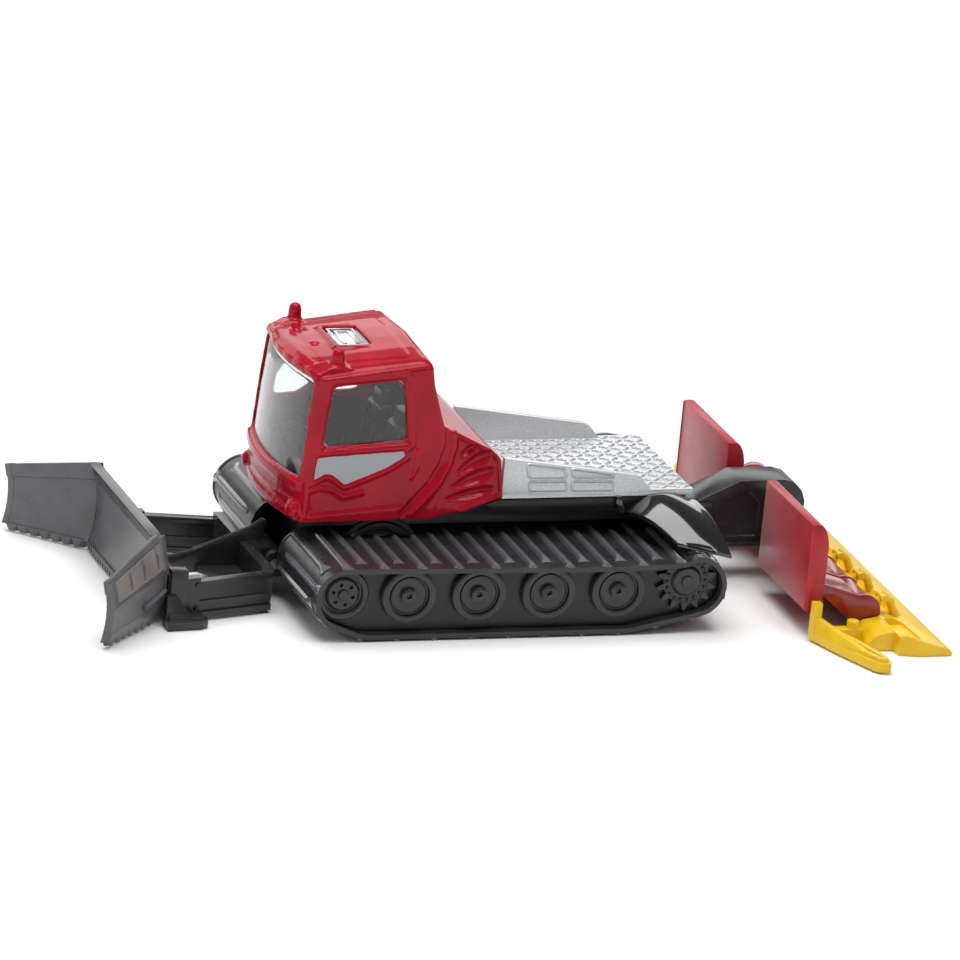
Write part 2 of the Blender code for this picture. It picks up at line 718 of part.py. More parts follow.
def make_carrier():
    """The push frame: a cross bar with a barrel on the blade pin, two beams and a middle gusset."""
    x, z = BLADE_PIN
    pad_front = BLADE_X - 1.35 * MM
    half = BEAM_REAR_Y + BEAM
    bar = box(
        "blade_carrier",
        (CARRIER_REAR, -half, BEAM_BOTTOM + 1.6 * MM),
        (CARRIER_REAR + CARRIER_BAR, half, BEAM_TOP + 0.7 * MM),
        BLACK,
    )
    for side in (1, -1):
        beam = [
            (CARRIER_REAR + SEAM, side * BEAM_REAR_Y),
            (CARRIER_REAR + SEAM, side * (BEAM_REAR_Y + BEAM - SEAM)),
            (pad_front - 0.5 * MM, side * (BEAM_FRONT_Y + BEAM - SEAM)),
            (pad_front - 0.5 * MM, side * BEAM_FRONT_Y),
        ]
        join(bar, slab("beam_" + side_name(side), [beam], "XY", BEAM_BOTTOM, BEAM_TOP, cutter=True))
    pad = [
        (-BEAM_FRONT_Y - BEAM, BEAM_BOTTOM + 0.2 * MM),
        (BEAM_FRONT_Y + BEAM, BEAM_BOTTOM + 0.2 * MM),
        (BEAM_FRONT_Y + BEAM, BEAM_TOP + 1.2 * MM),
        (-BEAM_FRONT_Y - BEAM, BEAM_TOP + 1.2 * MM),
    ]
    join(bar, slab("pad", [pad], "YZ", pad_front - 1.4 * MM, pad_front, cutter=True))
    gusset = [
        (CARRIER_REAR - 0.4 * MM, BEAM_BOTTOM + 1.8 * MM),
        (pad_front - 0.4 * MM, BEAM_BOTTOM + 1.2 * MM),
        (pad_front - 0.4 * MM, BEAM_BOTTOM + 2.6 * MM),
        (CARRIER_REAR + 3.4 * MM, z + 0.5 * MM),
        (CARRIER_REAR - 0.4 * MM, z + 3.2 * MM),
        (CARRIER_REAR - 1.4 * MM, z + 3.8 * MM),
        (CARRIER_REAR - 2.1 * MM, z + 3.6 * MM),
        (CARRIER_REAR - 1.4 * MM, z + 1.2 * MM),
    ]
    join(bar, slab("gusset", [gusset], "XZ", -0.7 * MM, 0.7 * MM, cutter=True))
    tongue_half = CHASSIS_HALF - SEAM - EAR - CHEEK_CLEARANCE
    tongue = [(CARRIER_REAR + 0.4 * MM, z + BARREL_RADIUS)]
    tongue += arc((x, z), BARREL_RADIUS, 90, 270, 10)
    tongue += [(CARRIER_REAR + 0.4 * MM, z - BARREL_RADIUS)]
    join(bar, slab("tongue", [tongue], "XZ", -tongue_half, tongue_half, cutter=True))
    bore = rod("tongue_bore", (x, 0, z), (0, 1, 0), PIN_RADIUS + PIN_CLEARANCE, 2 * tongue_half + 2 * MM, cutter=True)
    cut(bar, bore)


def make_skid(side):
    """The foot behind each corner of the blade."""
    rear = BLADE_X - 6.6 * MM
    front = BLADE_X - 0.9 * MM
    inner = BEAM_FRONT_Y + BEAM + 0.1 * MM
    outline = [
        (front, side * inner),
        (front, side * (inner + 2.4 * MM)),
        (rear + 1.4 * MM, side * (inner + 2.0 * MM)),
        (rear, side * (inner + 0.9 * MM)),
        (rear + 0.6 * MM, side * inner),
    ]
    skid = slab("skid_" + side_name(side), [outline], "XY", 0.05 * MM, 1.5 * MM, BLACK)
    ridge = [
        (front - SEAM, 1.4 * MM),
        (front - SEAM, 4.2 * MM),
        (front - 1.4 * MM, 4.2 * MM),
        (rear + 1.8 * MM, 1.4 * MM),
    ]
    low, high = sorted((side * (inner + SEAM), side * (inner + 1.1 * MM)))
    join(skid, slab("ridge_" + side_name(side), [ridge], "XZ", low, high, cutter=True))


# ---------------------------------------------------------------- tiller

def make_tiller_arm():
    """The boom from the pin, over the hoods' gap, with its cross bar behind the hoods."""
    x, z = TILLER_PIN
    knuckle = x - BARREL_RADIUS - 0.6 * MM
    behind = HOOD_FRONT - HOOD_DEPTH - GAP
    over_drum = DRUM_CENTRE[1] + DRUM_PLATE_TOP + GAP
    outline = arc((x, z), BARREL_RADIUS, 90, -90, 8)
    outline += [
        (knuckle - 0.6 * MM, ARM_BOTTOM),
        (behind + CHEEK_CLEARANCE + GAP, ARM_BOTTOM),
        (behind + CHEEK_CLEARANCE + GAP, over_drum),
        (ARM_TAIL, over_drum),
        (ARM_TAIL, ARM_TOP - 2.6 * MM),
        (ARM_TAIL + 1.6 * MM, ARM_TOP - 0.4 * MM),
        (ARM_TAIL + 3.0 * MM, ARM_TOP),
        (ARM_TAIL + 9.2 * MM, ARM_TOP),
        (knuckle + 0.2 * MM, z + 2.6 * MM),
    ]
    arm_half = CHASSIS_HALF - SEAM - EAR - CHEEK_CLEARANCE
    arm = slab("tiller_arm", [outline], "XZ", -arm_half, arm_half, GREY)
    bar = box(
        "tiller_bar",
        (behind - 1.3 * MM, -HOOD_INNER - 6 * MM, 7.6 * MM),
        (behind, HOOD_INNER + 6 * MM, 10.6 * MM),
        cutter=True,
    )
    join(arm, bar)
    cut(arm, rod("arm_bore", (x, 0, z), (0, 1, 0), PIN_RADIUS + PIN_CLEARANCE, 3 * ARM_HALF, cutter=True))


def make_hood(side):
    """An upright plate with a flat front and a back that rounds over to a narrow top."""
    back = HOOD_FRONT - HOOD_DEPTH
    outline = [(HOOD_FRONT, HOOD_BOTTOM), (HOOD_FRONT, HOOD_TOP)]
    for i in range(6):
        turn = math.radians(90 * i / 5)
        outline.append((back + 1.5 * MM * (1 - math.sin(turn)), HOOD_TOP - 3 * MM * (1 - math.cos(turn))))
    outline.append((back, HOOD_BOTTOM))
    low, high = sorted((side * HOOD_INNER, side * HOOD_OUTER))
    slab("tiller_hood_" + side_name(side), [outline], "XZ", low, high, RED)


def make_drum():
    """The drum housing, with a sloping plate forward to the hoods."""
    x, z = DRUM_CENTRE
    fore = HOOD_FRONT - HOOD_DEPTH - GAP
    outline = arc((x, z), DRUM_RADIUS, 75, 300, 12)
    outline += [(fore, z + DRUM_PLATE_TOP - 1.2 * MM), (fore, z + DRUM_PLATE_TOP)]
    slab("drum_housing", [outline], "XZ", -DRUM_HALF, DRUM_HALF, RED)


def make_comb():
    """The yellow flap that drags behind the drum, thicker at its two ends."""
    x, z = DRUM_CENTRE
    root = x - DRUM_RADIUS - GAP
    blade = [
        (root, z + 1.6 * MM),
        (root - 1.0 * MM, z + 1.6 * MM),
        (root - 2.6 * MM, z - 0.6 * MM),
        (COMB_TAIL, 0.9 * MM),
        (COMB_TAIL, 0.05 * MM),
        (root, 0.05 * MM),
    ]
    comb = slab("finishing_comb", [blade], "XZ", -COMB_HALF, COMB_HALF, YELLOW)
    end = [
        (root + 3.3 * MM, z + 2.6 * MM),
        (root + 0.6 * MM, z + 2.6 * MM),
        (root - 1.6 * MM, z - 0.2 * MM),
        (root - 1.6 * MM, 0.1 * MM),
        (root + 0.6 * MM, 0.1 * MM),
    ]
    for side in (1, -1):
        low, high = sorted((side * (DRUM_HALF + 2 * GAP), side * (COMB_HALF - 2 * MM)))
        join(comb, slab("comb_end_" + side_name(side), [end], "XZ", low, high, cutter=True))


def make_finisher(side):
    """The side ski that smooths the edge of the trail, with a raised rim and its link to the comb."""
    root_y = HOOD_OUTER + 0.9 * MM
    reach = FINISHER_REACH
    outline = [
        (-38.4 * MM, root_y),
        (-41.6 * MM, root_y),
        (-43.6 * MM, root_y + 5 * MM),
        (-45.4 * MM, reach - 1.2 * MM),
        (-44.6 * MM, reach),
        (-43.2 * MM, reach - 0.4 * MM),
        (-40.4 * MM, root_y + 6 * MM),
    ]
    outline = [(x, side * y) for x, y in outline]
    ski = slab("side_finisher_" + side_name(side), [outline], "XY", 0.3 * MM, 1.7 * MM, YELLOW)
    rim = [
        (-38.4 * MM - SEAM, root_y + SEAM),
        (-39.5 * MM, root_y + SEAM),
        (-41.6 * MM, root_y + 6 * MM),
        (-44.6 * MM, reach - 0.8 * MM),
        (-43.6 * MM, reach - 0.8 * MM),
        (-40.4 * MM - SEAM, root_y + 6 * MM),
    ]
    rim = [(x, side * y) for x, y in rim]
    join(ski, slab("rim_" + side_name(side), [rim], "XY", 0.4 * MM, 3.4 * MM, cutter=True))
    link = box(
        "link_" + side_name(side),
        (-44.9 * MM, min(side * (root_y + 1.4 * MM), side * (root_y + 3 * MM)), 0.6 * MM),
        (-41.0 * MM, max(side * (root_y + 1.4 * MM), side * (root_y + 3 * MM)), 2.4 * MM),
        cutter=True,
    )
    join(ski, link)


def main():
    for side in (1, -1):
        make_track(side)
        make_web(side)
        for name, centre, radius in wheel_spots():
            make_wheel(f"{name}_{side_name(side)}", centre, radius, side)
        make_mudguard(side)
        make_skid(side)
        make_hood(side)
        make_finisher(side)
    make_chassis()
    make_deck()
    make_cab()
    make_glazing()
    make_interior()
    make_bed()
    make_blade()
    make_carrier()
    make_tiller_arm()
    make_drum()
    make_comb()
    make_pin("blade_pin", BLADE_PIN)
    make_pin("tiller_pin", TILLER_PIN)


main()
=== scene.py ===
"""The looks of the toy snowcat groomer: a painted zinc cab and load bed on a moulded black chassis.

Everything is made in millimetres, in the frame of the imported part: +X to the blade, +Y to the
vehicle's left, +Z up from the floor. Each solid is brought to metres when it is finished.
"""

from __future__ import annotations

import logging
import math
from dataclasses import dataclass
from enum import Enum
from typing import Callable, Sequence
import bmesh
import bpy
from mathutils import Matrix, Vector


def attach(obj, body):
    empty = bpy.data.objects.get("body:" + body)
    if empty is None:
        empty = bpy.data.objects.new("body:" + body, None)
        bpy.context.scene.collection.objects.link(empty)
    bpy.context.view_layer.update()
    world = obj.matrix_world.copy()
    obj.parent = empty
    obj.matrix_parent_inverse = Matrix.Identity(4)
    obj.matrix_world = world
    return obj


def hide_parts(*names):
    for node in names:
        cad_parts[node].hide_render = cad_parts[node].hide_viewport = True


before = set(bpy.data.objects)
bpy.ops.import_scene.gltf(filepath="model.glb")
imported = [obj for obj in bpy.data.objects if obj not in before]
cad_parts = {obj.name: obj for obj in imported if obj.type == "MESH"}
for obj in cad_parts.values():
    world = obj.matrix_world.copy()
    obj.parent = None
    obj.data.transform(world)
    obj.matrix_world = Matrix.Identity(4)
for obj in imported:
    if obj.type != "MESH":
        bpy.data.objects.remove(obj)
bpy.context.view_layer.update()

logging.basicConfig(level=logging.INFO, format="%(message)s")
LOG = logging.getLogger("groomer")

Point2 = tuple[float, float]
Point3 = tuple[float, float, float]
Shape = bmesh.types.BMesh
Material = bpy.types.Material
Socket = bpy.types.NodeSocket
Inputs = dict[str | int, object]

MM = 0.001
SIDES: tuple[int, int] = (1, -1)
BORE_RADIUS = 0.9


def side_name(side: int) -> str:
    """Return the word for a side: 1 is the left and -1 the right."""
    return "left" if side > 0 else "right"


# ---------------------------------------------------------------- finishes


def linear(code: str) -> tuple[float, float, float, float]:
    """Turn an sRGB hex value into a linear colour.

    Args:
        code: six hex digits.

    Returns:
        Red, green, blue and alpha, in linear light.
    """
    parts = [int(code[i : i + 2], 16) / 255 for i in (0, 2, 4)]
    red, green, blue = (p / 12.92 if p <= 0.04045 else ((p + 0.055) / 1.055) ** 2.4 for p in parts)
    return (red, green, blue, 1.0)


def per_metre(size_mm: float) -> float:
    """Return the texture scale that repeats once in this many millimetres."""
    return 1.0 / (size_mm * MM)


def add_node(
    tree: bpy.types.NodeTree,
    kind: str,
    settings: dict[str, object] | None = None,
    inputs: Inputs | None = None,
) -> bpy.types.Node:
    """Add a node, set it and link it.

    Args:
        tree: the node tree of a material or a world.
        kind: the node's type name.
        settings: properties of the node.
        inputs: a value, or the output socket to link, for each input.

    Returns:
        The new node.
    """
    node = tree.nodes.new(kind)
    for key, value in (settings or {}).items():
        setattr(node, key, value)
    for key, value in (inputs or {}).items():
        socket = node.inputs[key]
        if isinstance(value, Socket):
            tree.links.new(value, socket)
        else:
            socket.default_value = value
    return node


@dataclass(frozen=True)
class Finish:
    """What every finish shares: a name and a Principled shader on the piece's own millimetres."""

    name: str
    colour: str
    roughness: float

    def shader(self, material: Material) -> Inputs:
        """Return the Principled inputs that this finish sets, adding the nodes that feed them."""
        return {}

    def material(self) -> Material:
        """Return the material of this finish, made on first use."""
        found = bpy.data.materials.get(self.name)
        if found:
            return found
        made = bpy.data.materials.new(self.name)
        made.use_nodes = True
        tree = made.node_tree
        tree.nodes.clear()
        inputs: Inputs = {"Base Color": linear(self.colour), "Roughness": self.roughness}
        inputs.update(self.shader(made))
        surface = add_node(tree, "ShaderNodeBsdfPrincipled", inputs=inputs)
        add_node(tree, "ShaderNodeOutputMaterial", inputs={"Surface": surface.outputs["BSDF"]})
        return made

    @staticmethod
    def grain(material: Material, size_mm: float, detail: float = 2.0) -> Socket:
        """Return a noise from 0 to 1 whose blotches are this many millimetres across.

        Args:
            material: the material whose nodes it adds to.
            size_mm: size of the blotches.
            detail: how many finer layers it has.

        Returns:
            The noise's socket.
        """
        tree = material.node_tree
        place = add_node(tree, "ShaderNodeTexCoord")
        noise = add_node(
            tree,
            "ShaderNodeTexNoise",
            inputs={"Vector": place.outputs["Object"], "Scale": per_metre(size_mm), "Detail": detail},
        )
        return noise.outputs["Fac"]

    @staticmethod
    def relief(material: Material, height: Socket, depth_mm: float, strength: float) -> Socket:
        """Return the normal of a surface this deep in relief.

        Args:
            material: the material whose nodes it adds to.
            height: the height, from 0 to 1.
            depth_mm: how deep height 1 is.
            strength: how much of it shows.

        Returns:
            The normal's socket.
        """
        bump = add_node(
            material.node_tree,
            "ShaderNodeBump",
            inputs={"Height": height, "Distance": depth_mm * MM, "Strength": strength},
        )
        return bump.outputs["Normal"]

    @staticmethod
    def spread(material: Material, factor: Socket, low: float, high: float) -> Socket:
        """Return the factor mapped from 0.3..0.7 to low..high.

        Args:
            material: the material whose nodes it adds to.
            factor: the noise.
            low: what 0.3 becomes.
            high: what 0.7 becomes.

        Returns:
            The mapped socket.
        """
        mapped = add_node(
            material.node_tree,
            "ShaderNodeMapRange",
            inputs={"Value": factor, "From Min": 0.3, "From Max": 0.7, "To Min": low, "To Max": high},
        )
        return mapped.outputs["Result"]

    @staticmethod
    def blend(material: Material, factor: Socket, first: str, second: str) -> Socket:
        """Return a colour that runs from the first to the second sRGB value.

        Args:
            material: the material whose nodes it adds to.
            factor: the share of the second colour.
            first: six hex digits.
            second: six hex digits.

        Returns:
            The colour's socket.
        """
        ramp = add_node(material.node_tree, "ShaderNodeValToRGB", inputs={"Fac": factor})
        ramp.color_ramp.elements[0].color = linear(first)
        ramp.color_ramp.elements[1].color = linear(second)
        return ramp.outputs["Color"]


@dataclass(frozen=True)
class GlossEnamel(Finish):
    """Stoved enamel sprayed on zinc: it pools a little, so it shows long soft reflections.

    The coat carries the gloss, and the base's own reflection is turned down to keep the red deep.
    """

    pooled: str = "9E0C23"
    pool_mm: float = 5.0
    peel_mm: float = 1.6
    peel_depth: float = 0.03
    coat: float = 0.38
    base_gloss: float = 0.05

    def shader(self, material: Material) -> Inputs:
        """Return colour pooled over a few millimetres and a faint orange peel."""
        pool = self.spread(material, self.grain(material, self.pool_mm), 0.0, 1.0)
        peel = self.grain(material, self.peel_mm, 1.0)
        return {
            "Base Color": self.blend(material, pool, self.pooled, self.colour),
            "Normal": self.relief(material, peel, self.peel_depth, 0.35),
            "Coat Weight": self.coat,
            "Coat Roughness": 0.03,
            "Specular IOR Level": self.base_gloss,
        }


@dataclass(frozen=True)
class MetallicPaint(Finish):
    """Fine aluminium flake in lacquer, sprayed thin: a sparkle finer than a grain of salt.

    Real flake is a few hundredths of a millimetre across; it is drawn coarser, so that it shows.
    """

    flake_mm: float = 0.16
    flake_depth: float = 0.02
    dark: str = "C9CBCE"
    metal: float = 0.4
    coat: float = 0.25

    def shader(self, material: Material) -> Inputs:
        """Return flake that changes both the tone and the tilt of the surface."""
        flake = self.grain(material, self.flake_mm, 1.0)
        tone = self.spread(material, flake, 0.0, 1.0)
        return {
            "Base Color": self.blend(material, tone, self.dark, self.colour),
            "Metallic": self.metal,
            "Normal": self.relief(material, flake, self.flake_depth, 0.45),
            "Coat Weight": self.coat,
            "Coat Roughness": 0.25,
        }


@dataclass(frozen=True)
class MouldedPlastic(Finish):
    """Injection-moulded ABS from a spark-eroded tool: a fine grain that breaks up the highlights.

    A real tool's grain is well under 0.1 mm; it is drawn at 0.3 mm and more, so that it shows.
    """

    grain_mm: float = 0.28
    grain_depth: float = 0.02
    coat: float = 0.0
    sheen: float = 0.0
    worn: str = ""
    glow: float = 0.0

    def shader(self, material: Material) -> Inputs:
        """Return the tool's grain, a roughness that varies with it and a little depth of colour."""
        fine = self.grain(material, self.grain_mm, 2.0)
        broad = self.grain(material, 3.5)
        inputs: Inputs = {
            "Roughness": self.spread(material, broad, self.roughness * 0.85, self.roughness * 1.2),
            "Normal": self.relief(material, fine, self.grain_depth, 0.5),
            "Coat Weight": self.coat,
            "Sheen Weight": self.sheen,
            "Sheen Roughness": 0.45,
            "Coat Roughness": 0.12,
        }
        if self.worn:
            tone = self.spread(material, broad, 0, 1)
            inputs["Base Color"] = self.blend(material, tone, self.worn, self.colour)
        if self.glow:
            inputs["Subsurface Weight"] = self.glow
            inputs["Subsurface Radius"] = (0.0012, 0.0007, 0.0002)
            inputs["Subsurface Scale"] = 1.0
        return inputs


@dataclass(frozen=True)
class ClearStyrene(Finish):
    """Crystal styrene from a polished tool: clear, with a slow ripple that bends reflections.

    Styrene's own index is 1.59. The index and the reflection are turned down from that, so that
    the panes stay clear and the cabin shows through them.
    """

    ripple_mm: float = 4.0
    ripple_depth: float = 0.05
    index: float = 1.45
    reflection: float = 0.12

    def shader(self, material: Material) -> Inputs:
        """Return full transmission and a faint ripple."""
        ripple = self.grain(material, self.ripple_mm, 0.0)
        return {
            "Transmission Weight": 1.0,
            "IOR": self.index,
            "Specular IOR Level": self.reflection,
            "Normal": self.relief(material, ripple, self.ripple_depth, 0.3),
        }


@dataclass(frozen=True)
class DrawnSteel(Finish):
    """Plain drawn wire cut to length: a grey metal, slightly dulled by the die.

    The die's marks are far finer than 0.2 mm; they are drawn at that size, so that they show.
    """

    grain_mm: float = 0.2
    grain_depth: float = 0.01

    def shader(self, material: Material) -> Inputs:
        """Return a metal with a fine grain."""
        fine = self.grain(material, self.grain_mm)
        return {"Metallic": 1.0, "Normal": self.relief(material, fine, self.grain_depth, 0.4)}


# The cab and the bed are painted zinc, and the door panels are printed on the cab. The pins are
# steel and the panes are styrene. Everything else is moulded ABS.
RED_ENAMEL = GlossEnamel("red_stoved_enamel", "B80F28", 0.22)
SILVER_PAINT = MetallicPaint("silver_flake_paint", "E0E2E4", 0.34)
DOOR_SILVER = MetallicPaint("silver_tampo_print", "B3B7BA", 0.5, flake_mm=0.12, dark="A3A7AA")
TRACK_PLASTIC = MouldedPlastic("track_black_abs", "343236", 0.28, grain_mm=0.3, worn="2A282C")
# The bars are drawn a lighter grey than the belt between them, which is a painted highlight, and they are
# smoother.
BAR_PLASTIC = MouldedPlastic("track_bar_painted_highlight_abs", "66656A", 0.2, grain_mm=0.3, coat=0.6, worn="58575C")
CHASSIS_PLASTIC = MouldedPlastic("chassis_black_abs", "151417", 0.34, grain_mm=0.35, worn="101012")
CARRIER_PLASTIC = MouldedPlastic("carrier_black_abs", "2B2A2C", 0.26, grain_mm=0.3, worn="29282A")
BLADE_PLASTIC = MouldedPlastic(
    "blade_grey_abs", "68686B", 0.3, grain_mm=0.3, grain_depth=0.01, worn="59595C"
)
PANEL_PLASTIC = MouldedPlastic(
    "blade_panel_matt_abs", "8A817D", 0.5, grain_mm=0.3, grain_depth=0.03, worn="7C7470"
)
SEAT_PLASTIC = MouldedPlastic("seat_dark_grey_abs", "1A1A1C", 0.3, grain_mm=0.4, worn="131314")
# The mudguards come from a polished tool, so they mirror the room.
GLOSS_BLACK = MouldedPlastic("polished_black_abs", "0B0B0D", 0.06, grain_mm=2.5, grain_depth=0.01, coat=1.0)
RED_PLASTIC = MouldedPlastic(
    "hood_red_abs", "B81226", 0.34, grain_mm=0.35, grain_depth=0.012, sheen=0.2, worn="A00E20"
)
DRUM_PLASTIC = MouldedPlastic(
    "drum_red_abs", "960E20", 0.2, grain_mm=0.6, grain_depth=0.01, coat=0.5, worn="860B1B"
)
YELLOW_PLASTIC = MouldedPlastic("comb_yellow_abs", "F4CC16", 0.34, grain_mm=0.6, worn="EBBE12", glow=0.15)
CLEAR = ClearStyrene("clear_styrene", "F4F8F8", 0.03)
STEEL = DrawnSteel("drawn_steel_wire", "9A9A9C", 0.35)


# ---------------------------------------------------------------- shapes in millimetres


class Plane(Enum):
    """The plane that a flat outline is drawn in."""

    SIDE = Matrix(((1, 0, 0, 0), (0, 0, 1, 0), (0, 1, 0, 0), (0, 0, 0, 1)))
    TOP = Matrix.Identity(4)
    FRONT = Matrix(((0, 0, 1, 0), (1, 0, 0, 0), (0, 1, 0, 0), (0, 0, 0, 1)))


class Joining(Enum):
    """How one solid meets another."""

    ADD = "UNION"
    TAKE = "DIFFERENCE"
    KEEP = "INTERSECT"


def loft(rings: Sequence[Sequence[Point3]], closed: bool = False) -> Shape:
    """Skin a solid over rings that have the same number of points.

    Args:
        rings: the rings in order.
        closed: whether the last ring joins the first, as in a hoop, so that there are no ends.

    Returns:
        The closed shape.
    """
    shape = bmesh.new()
    rows = [[shape.verts.new(point) for point in ring] for ring in rings]
    count = len(rows[0])
    for a, b in zip(rows, rows[1:] + (rows[:1] if closed else [])):
        for i in range(count):
            shape.faces.new((a[i], a[(i + 1) % count], b[(i + 1) % count], b[i]))
    if not closed:
        shape.faces.new(rows[0])
        shape.faces.new(list(reversed(rows[-1])))
    return shape


def prism(outline: Sequence[Point2], plane: Plane, low: float, high: float) -> Shape:
    """Give a flat outline a thickness from low to high across its plane.

    Args:
        outline: its points, in order.
        plane: the plane that they lie in.
        low: where the thickness starts.
        high: where it ends.

    Returns:
        The closed shape.
    """
    rings = [[(u, v, level) for u, v in outline] for level in (low, high)]
    shape = loft(rings)
    shape.transform(plane.value)
    return shape


def block(low: Point3, high: Point3) -> Shape:
    """Return a box between two corners."""
    (x0, y0, z0), (x1, y1, z1) = low, high
    return prism([(x0, y0), (x1, y0), (x1, y1), (x0, y1)], Plane.TOP, z0, z1)


def tube(path: Sequence[Point3], radius: float | Sequence[float], steps: int = 10) -> Shape:
    """Sweep a round section along a path.

    Args:
        path: the points along the middle.
        radius: one radius, or one for each point.
        steps: points round the section.

    Returns:
        The closed shape.
    """
    radii = [radius] * len(path) if isinstance(radius, (int, float)) else list(radius)
    spots = [Vector(point) for point in path]
    rings: list[list[Point3]] = []
    for i, spot in enumerate(spots):
        ahead = (spots[min(i + 1, len(spots) - 1)] - spots[max(i - 1, 0)]).normalized()
        across = Vector((0, 1, 0)) if abs(ahead.y) < 0.9 else Vector((0, 0, 1))
        other = ahead.cross(across).normalized()
        across = other.cross(ahead).normalized()
        ring = []
        for k in range(steps):
            turn = 2 * math.pi * k / steps
            ring.append(tuple(spot + (other * math.cos(turn) + across * math.sin(turn)) * radii[i]))
        rings.append(ring)
    return loft(rings)


def turned(profile: Sequence[Point2], centre: Point3, axis: Point3, steps: int = 48) -> Shape:
    """Turn a profile of (radius, height) points about an axis.

    Args:
        profile: the outer side from one end to the other, with radii above 0.
        centre: where height 0 lies.
        axis: the direction of height.
        steps: points round the axis.

    Returns:
        The closed shape.
    """
    rings = []
    for radius, height in profile:
        rings.append(
            [
                (
                    radius * math.cos(2 * math.pi * k / steps),
                    radius * math.sin(2 * math.pi * k / steps),
                    height,
                )
                for k in range(steps)
            ]
        )
    shape = loft(rings)
    shape.transform(Matrix.Translation(centre) @ Vector(axis).to_track_quat("Z", "Y").to_matrix().to_4x4())
    return shape


def rod(start: Point3, end: Point3, radius: float, steps: int = 24) -> Shape:
    """Return a cylinder between two points."""
    reach = Vector(end) - Vector(start)
    return turned([(radius, 0), (radius, reach.length)], start, tuple(reach), steps)


def leaf(start: Point2, end: Point2, width: float, depth: float, level: float) -> Shape:
    """Return a scoop, pointed at its start and round at its end, lying in the side plane at a level of Y.

    Args:
        start: X and Z of the point.
        end: X and Z of the round end.
        width: its greatest width.
        depth: half its thickness across Y.
        level: Y of its middle.

    Returns:
        The closed shape.
    """
    rings: list[list[Point3]] = []
    run = Vector((end[0] - start[0], 0, end[1] - start[1]))
    over = Vector((-run.z, 0, run.x)).normalized()
    for i in range(13):
        t = i / 12
        size = 0.02 + math.sin(math.pi * t**1.35) ** 0.8 if 0 < t < 1 else 0.02
        spot = Vector((start[0], level, start[1])) + run * t
        ring = []
        for k in range(12):
            turn = 2 * math.pi * k / 12
            aside = Vector((0, math.sin(turn) * depth * size, 0))
            ring.append(tuple(spot + over * (math.cos(turn) * width / 2 * size) + aside))
        rings.append(ring)
    return loft(rings)


def rounded(outline: Sequence[Point2], radius: float, steps: int = 4) -> list[Point2]:
    """Round each corner of an outline with a short curve.

    Args:
        outline: its corners, in order.
        radius: how far along each side the curve starts.
        steps: pieces of each curve.

    Returns:
        The new outline.
    """
    made: list[Point2] = []
    count = len(outline)
    for i, corner in enumerate(outline):
        here = Vector(corner)
        before, after = Vector(outline[i - 1]) - here, Vector(outline[(i + 1) % count]) - here
        reach = min(radius, before.length * 0.45, after.length * 0.45)
        start, end = here + before.normalized() * reach, here + after.normalized() * reach
        for k in range(steps + 1):
            t = k / steps
            spot = start * (1 - t) ** 2 + here * 2 * t * (1 - t) + end * t**2
            made.append((spot.x, spot.y))
    return made


def grown(outline: Sequence[Point2], by: float) -> list[Point2]:
    """Move each side of an outline outward by a distance.

    Args:
        outline: its corners, in order.
        by: the distance, below 0 to shrink it.

    Returns:
        The new outline.
    """
    area = sum(a[0] * b[1] - b[0] * a[1] for a, b in zip(outline, list(outline[1:]) + [outline[0]]))
    turn = 1 if area > 0 else -1
    made: list[Point2] = []
    count = len(outline)
    for i, corner in enumerate(outline):
        here = Vector(corner)
        one = (here - Vector(outline[i - 1])).normalized()
        two = (Vector(outline[(i + 1) % count]) - here).normalized()
        out_one, out_two = Vector((one.y, -one.x)) * turn, Vector((two.y, -two.x)) * turn
        middle = (out_one + out_two).normalized()
        made.append(tuple(here + middle * (by / max(0.3, middle.dot(out_one)))))
    return made


def arc(centre: Point2, radius: float, start: float, end: float, steps: int) -> list[Point2]:
    """Return points along an arc between two angles in degrees."""
    turns = [math.radians(start + (end - start) * i / steps) for i in range(steps + 1)]
    return [(centre[0] + radius * math.cos(a), centre[1] + radius * math.sin(a)) for a in turns]


def oblong(low: Point2, high: Point2, inset: float = 0.0) -> list[Point2]:
    """Return the corners of a rectangle, moved this far inward."""
    (u0, v0), (u1, v1) = low, high
    return [
        (u0 + inset, v0 + inset), (u1 - inset, v0 + inset), (u1 - inset, v1 - inset),
        (u0 + inset, v1 - inset),
    ]


def span(side: int, near: float, far: float) -> tuple[float, float]:
    """Turn two distances from the middle, on one side, into a low and a high Y."""
    low, high = sorted((side * near, side * far))
    return low, high


def mirrored(outline: Sequence[Point2], side: int) -> list[Point2]:
    """Put an outline seen from above on one side."""
    return [(x, side * y) for x, y in outline]


def hoop(spots: Sequence[tuple[Vector, Vector]], axis: Vector, wide: float, tall: float) -> Shape:
    """Sweep an oval section round a closed loop that lies across an axis.

    Args:
        spots: each point of the loop, with the direction out of the loop there.
        axis: the direction that the loop lies across.
        wide: half the section's width, across the loop.
        tall: half the section's height, along the axis.

    Returns:
        The closed shape.
    """
    turns = [math.pi * n / 4 for n in range(8)]
    rings = [
        [tuple(spot + out * (math.cos(a) * wide) + axis * (math.sin(a) * tall)) for a in turns]
        for spot, out in spots
    ]
    return loft(rings, closed=True)


def between(table: Sequence[Point2], at: float) -> float:
    """Read a table of (place, value) rows with straight lines between them."""
    for (x0, y0), (x1, y1) in zip(table, table[1:]):
        if at <= x1:
            return y0 + (y1 - y0) * max(0.0, (at - x0)) / (x1 - x0)
    return table[-1][1]


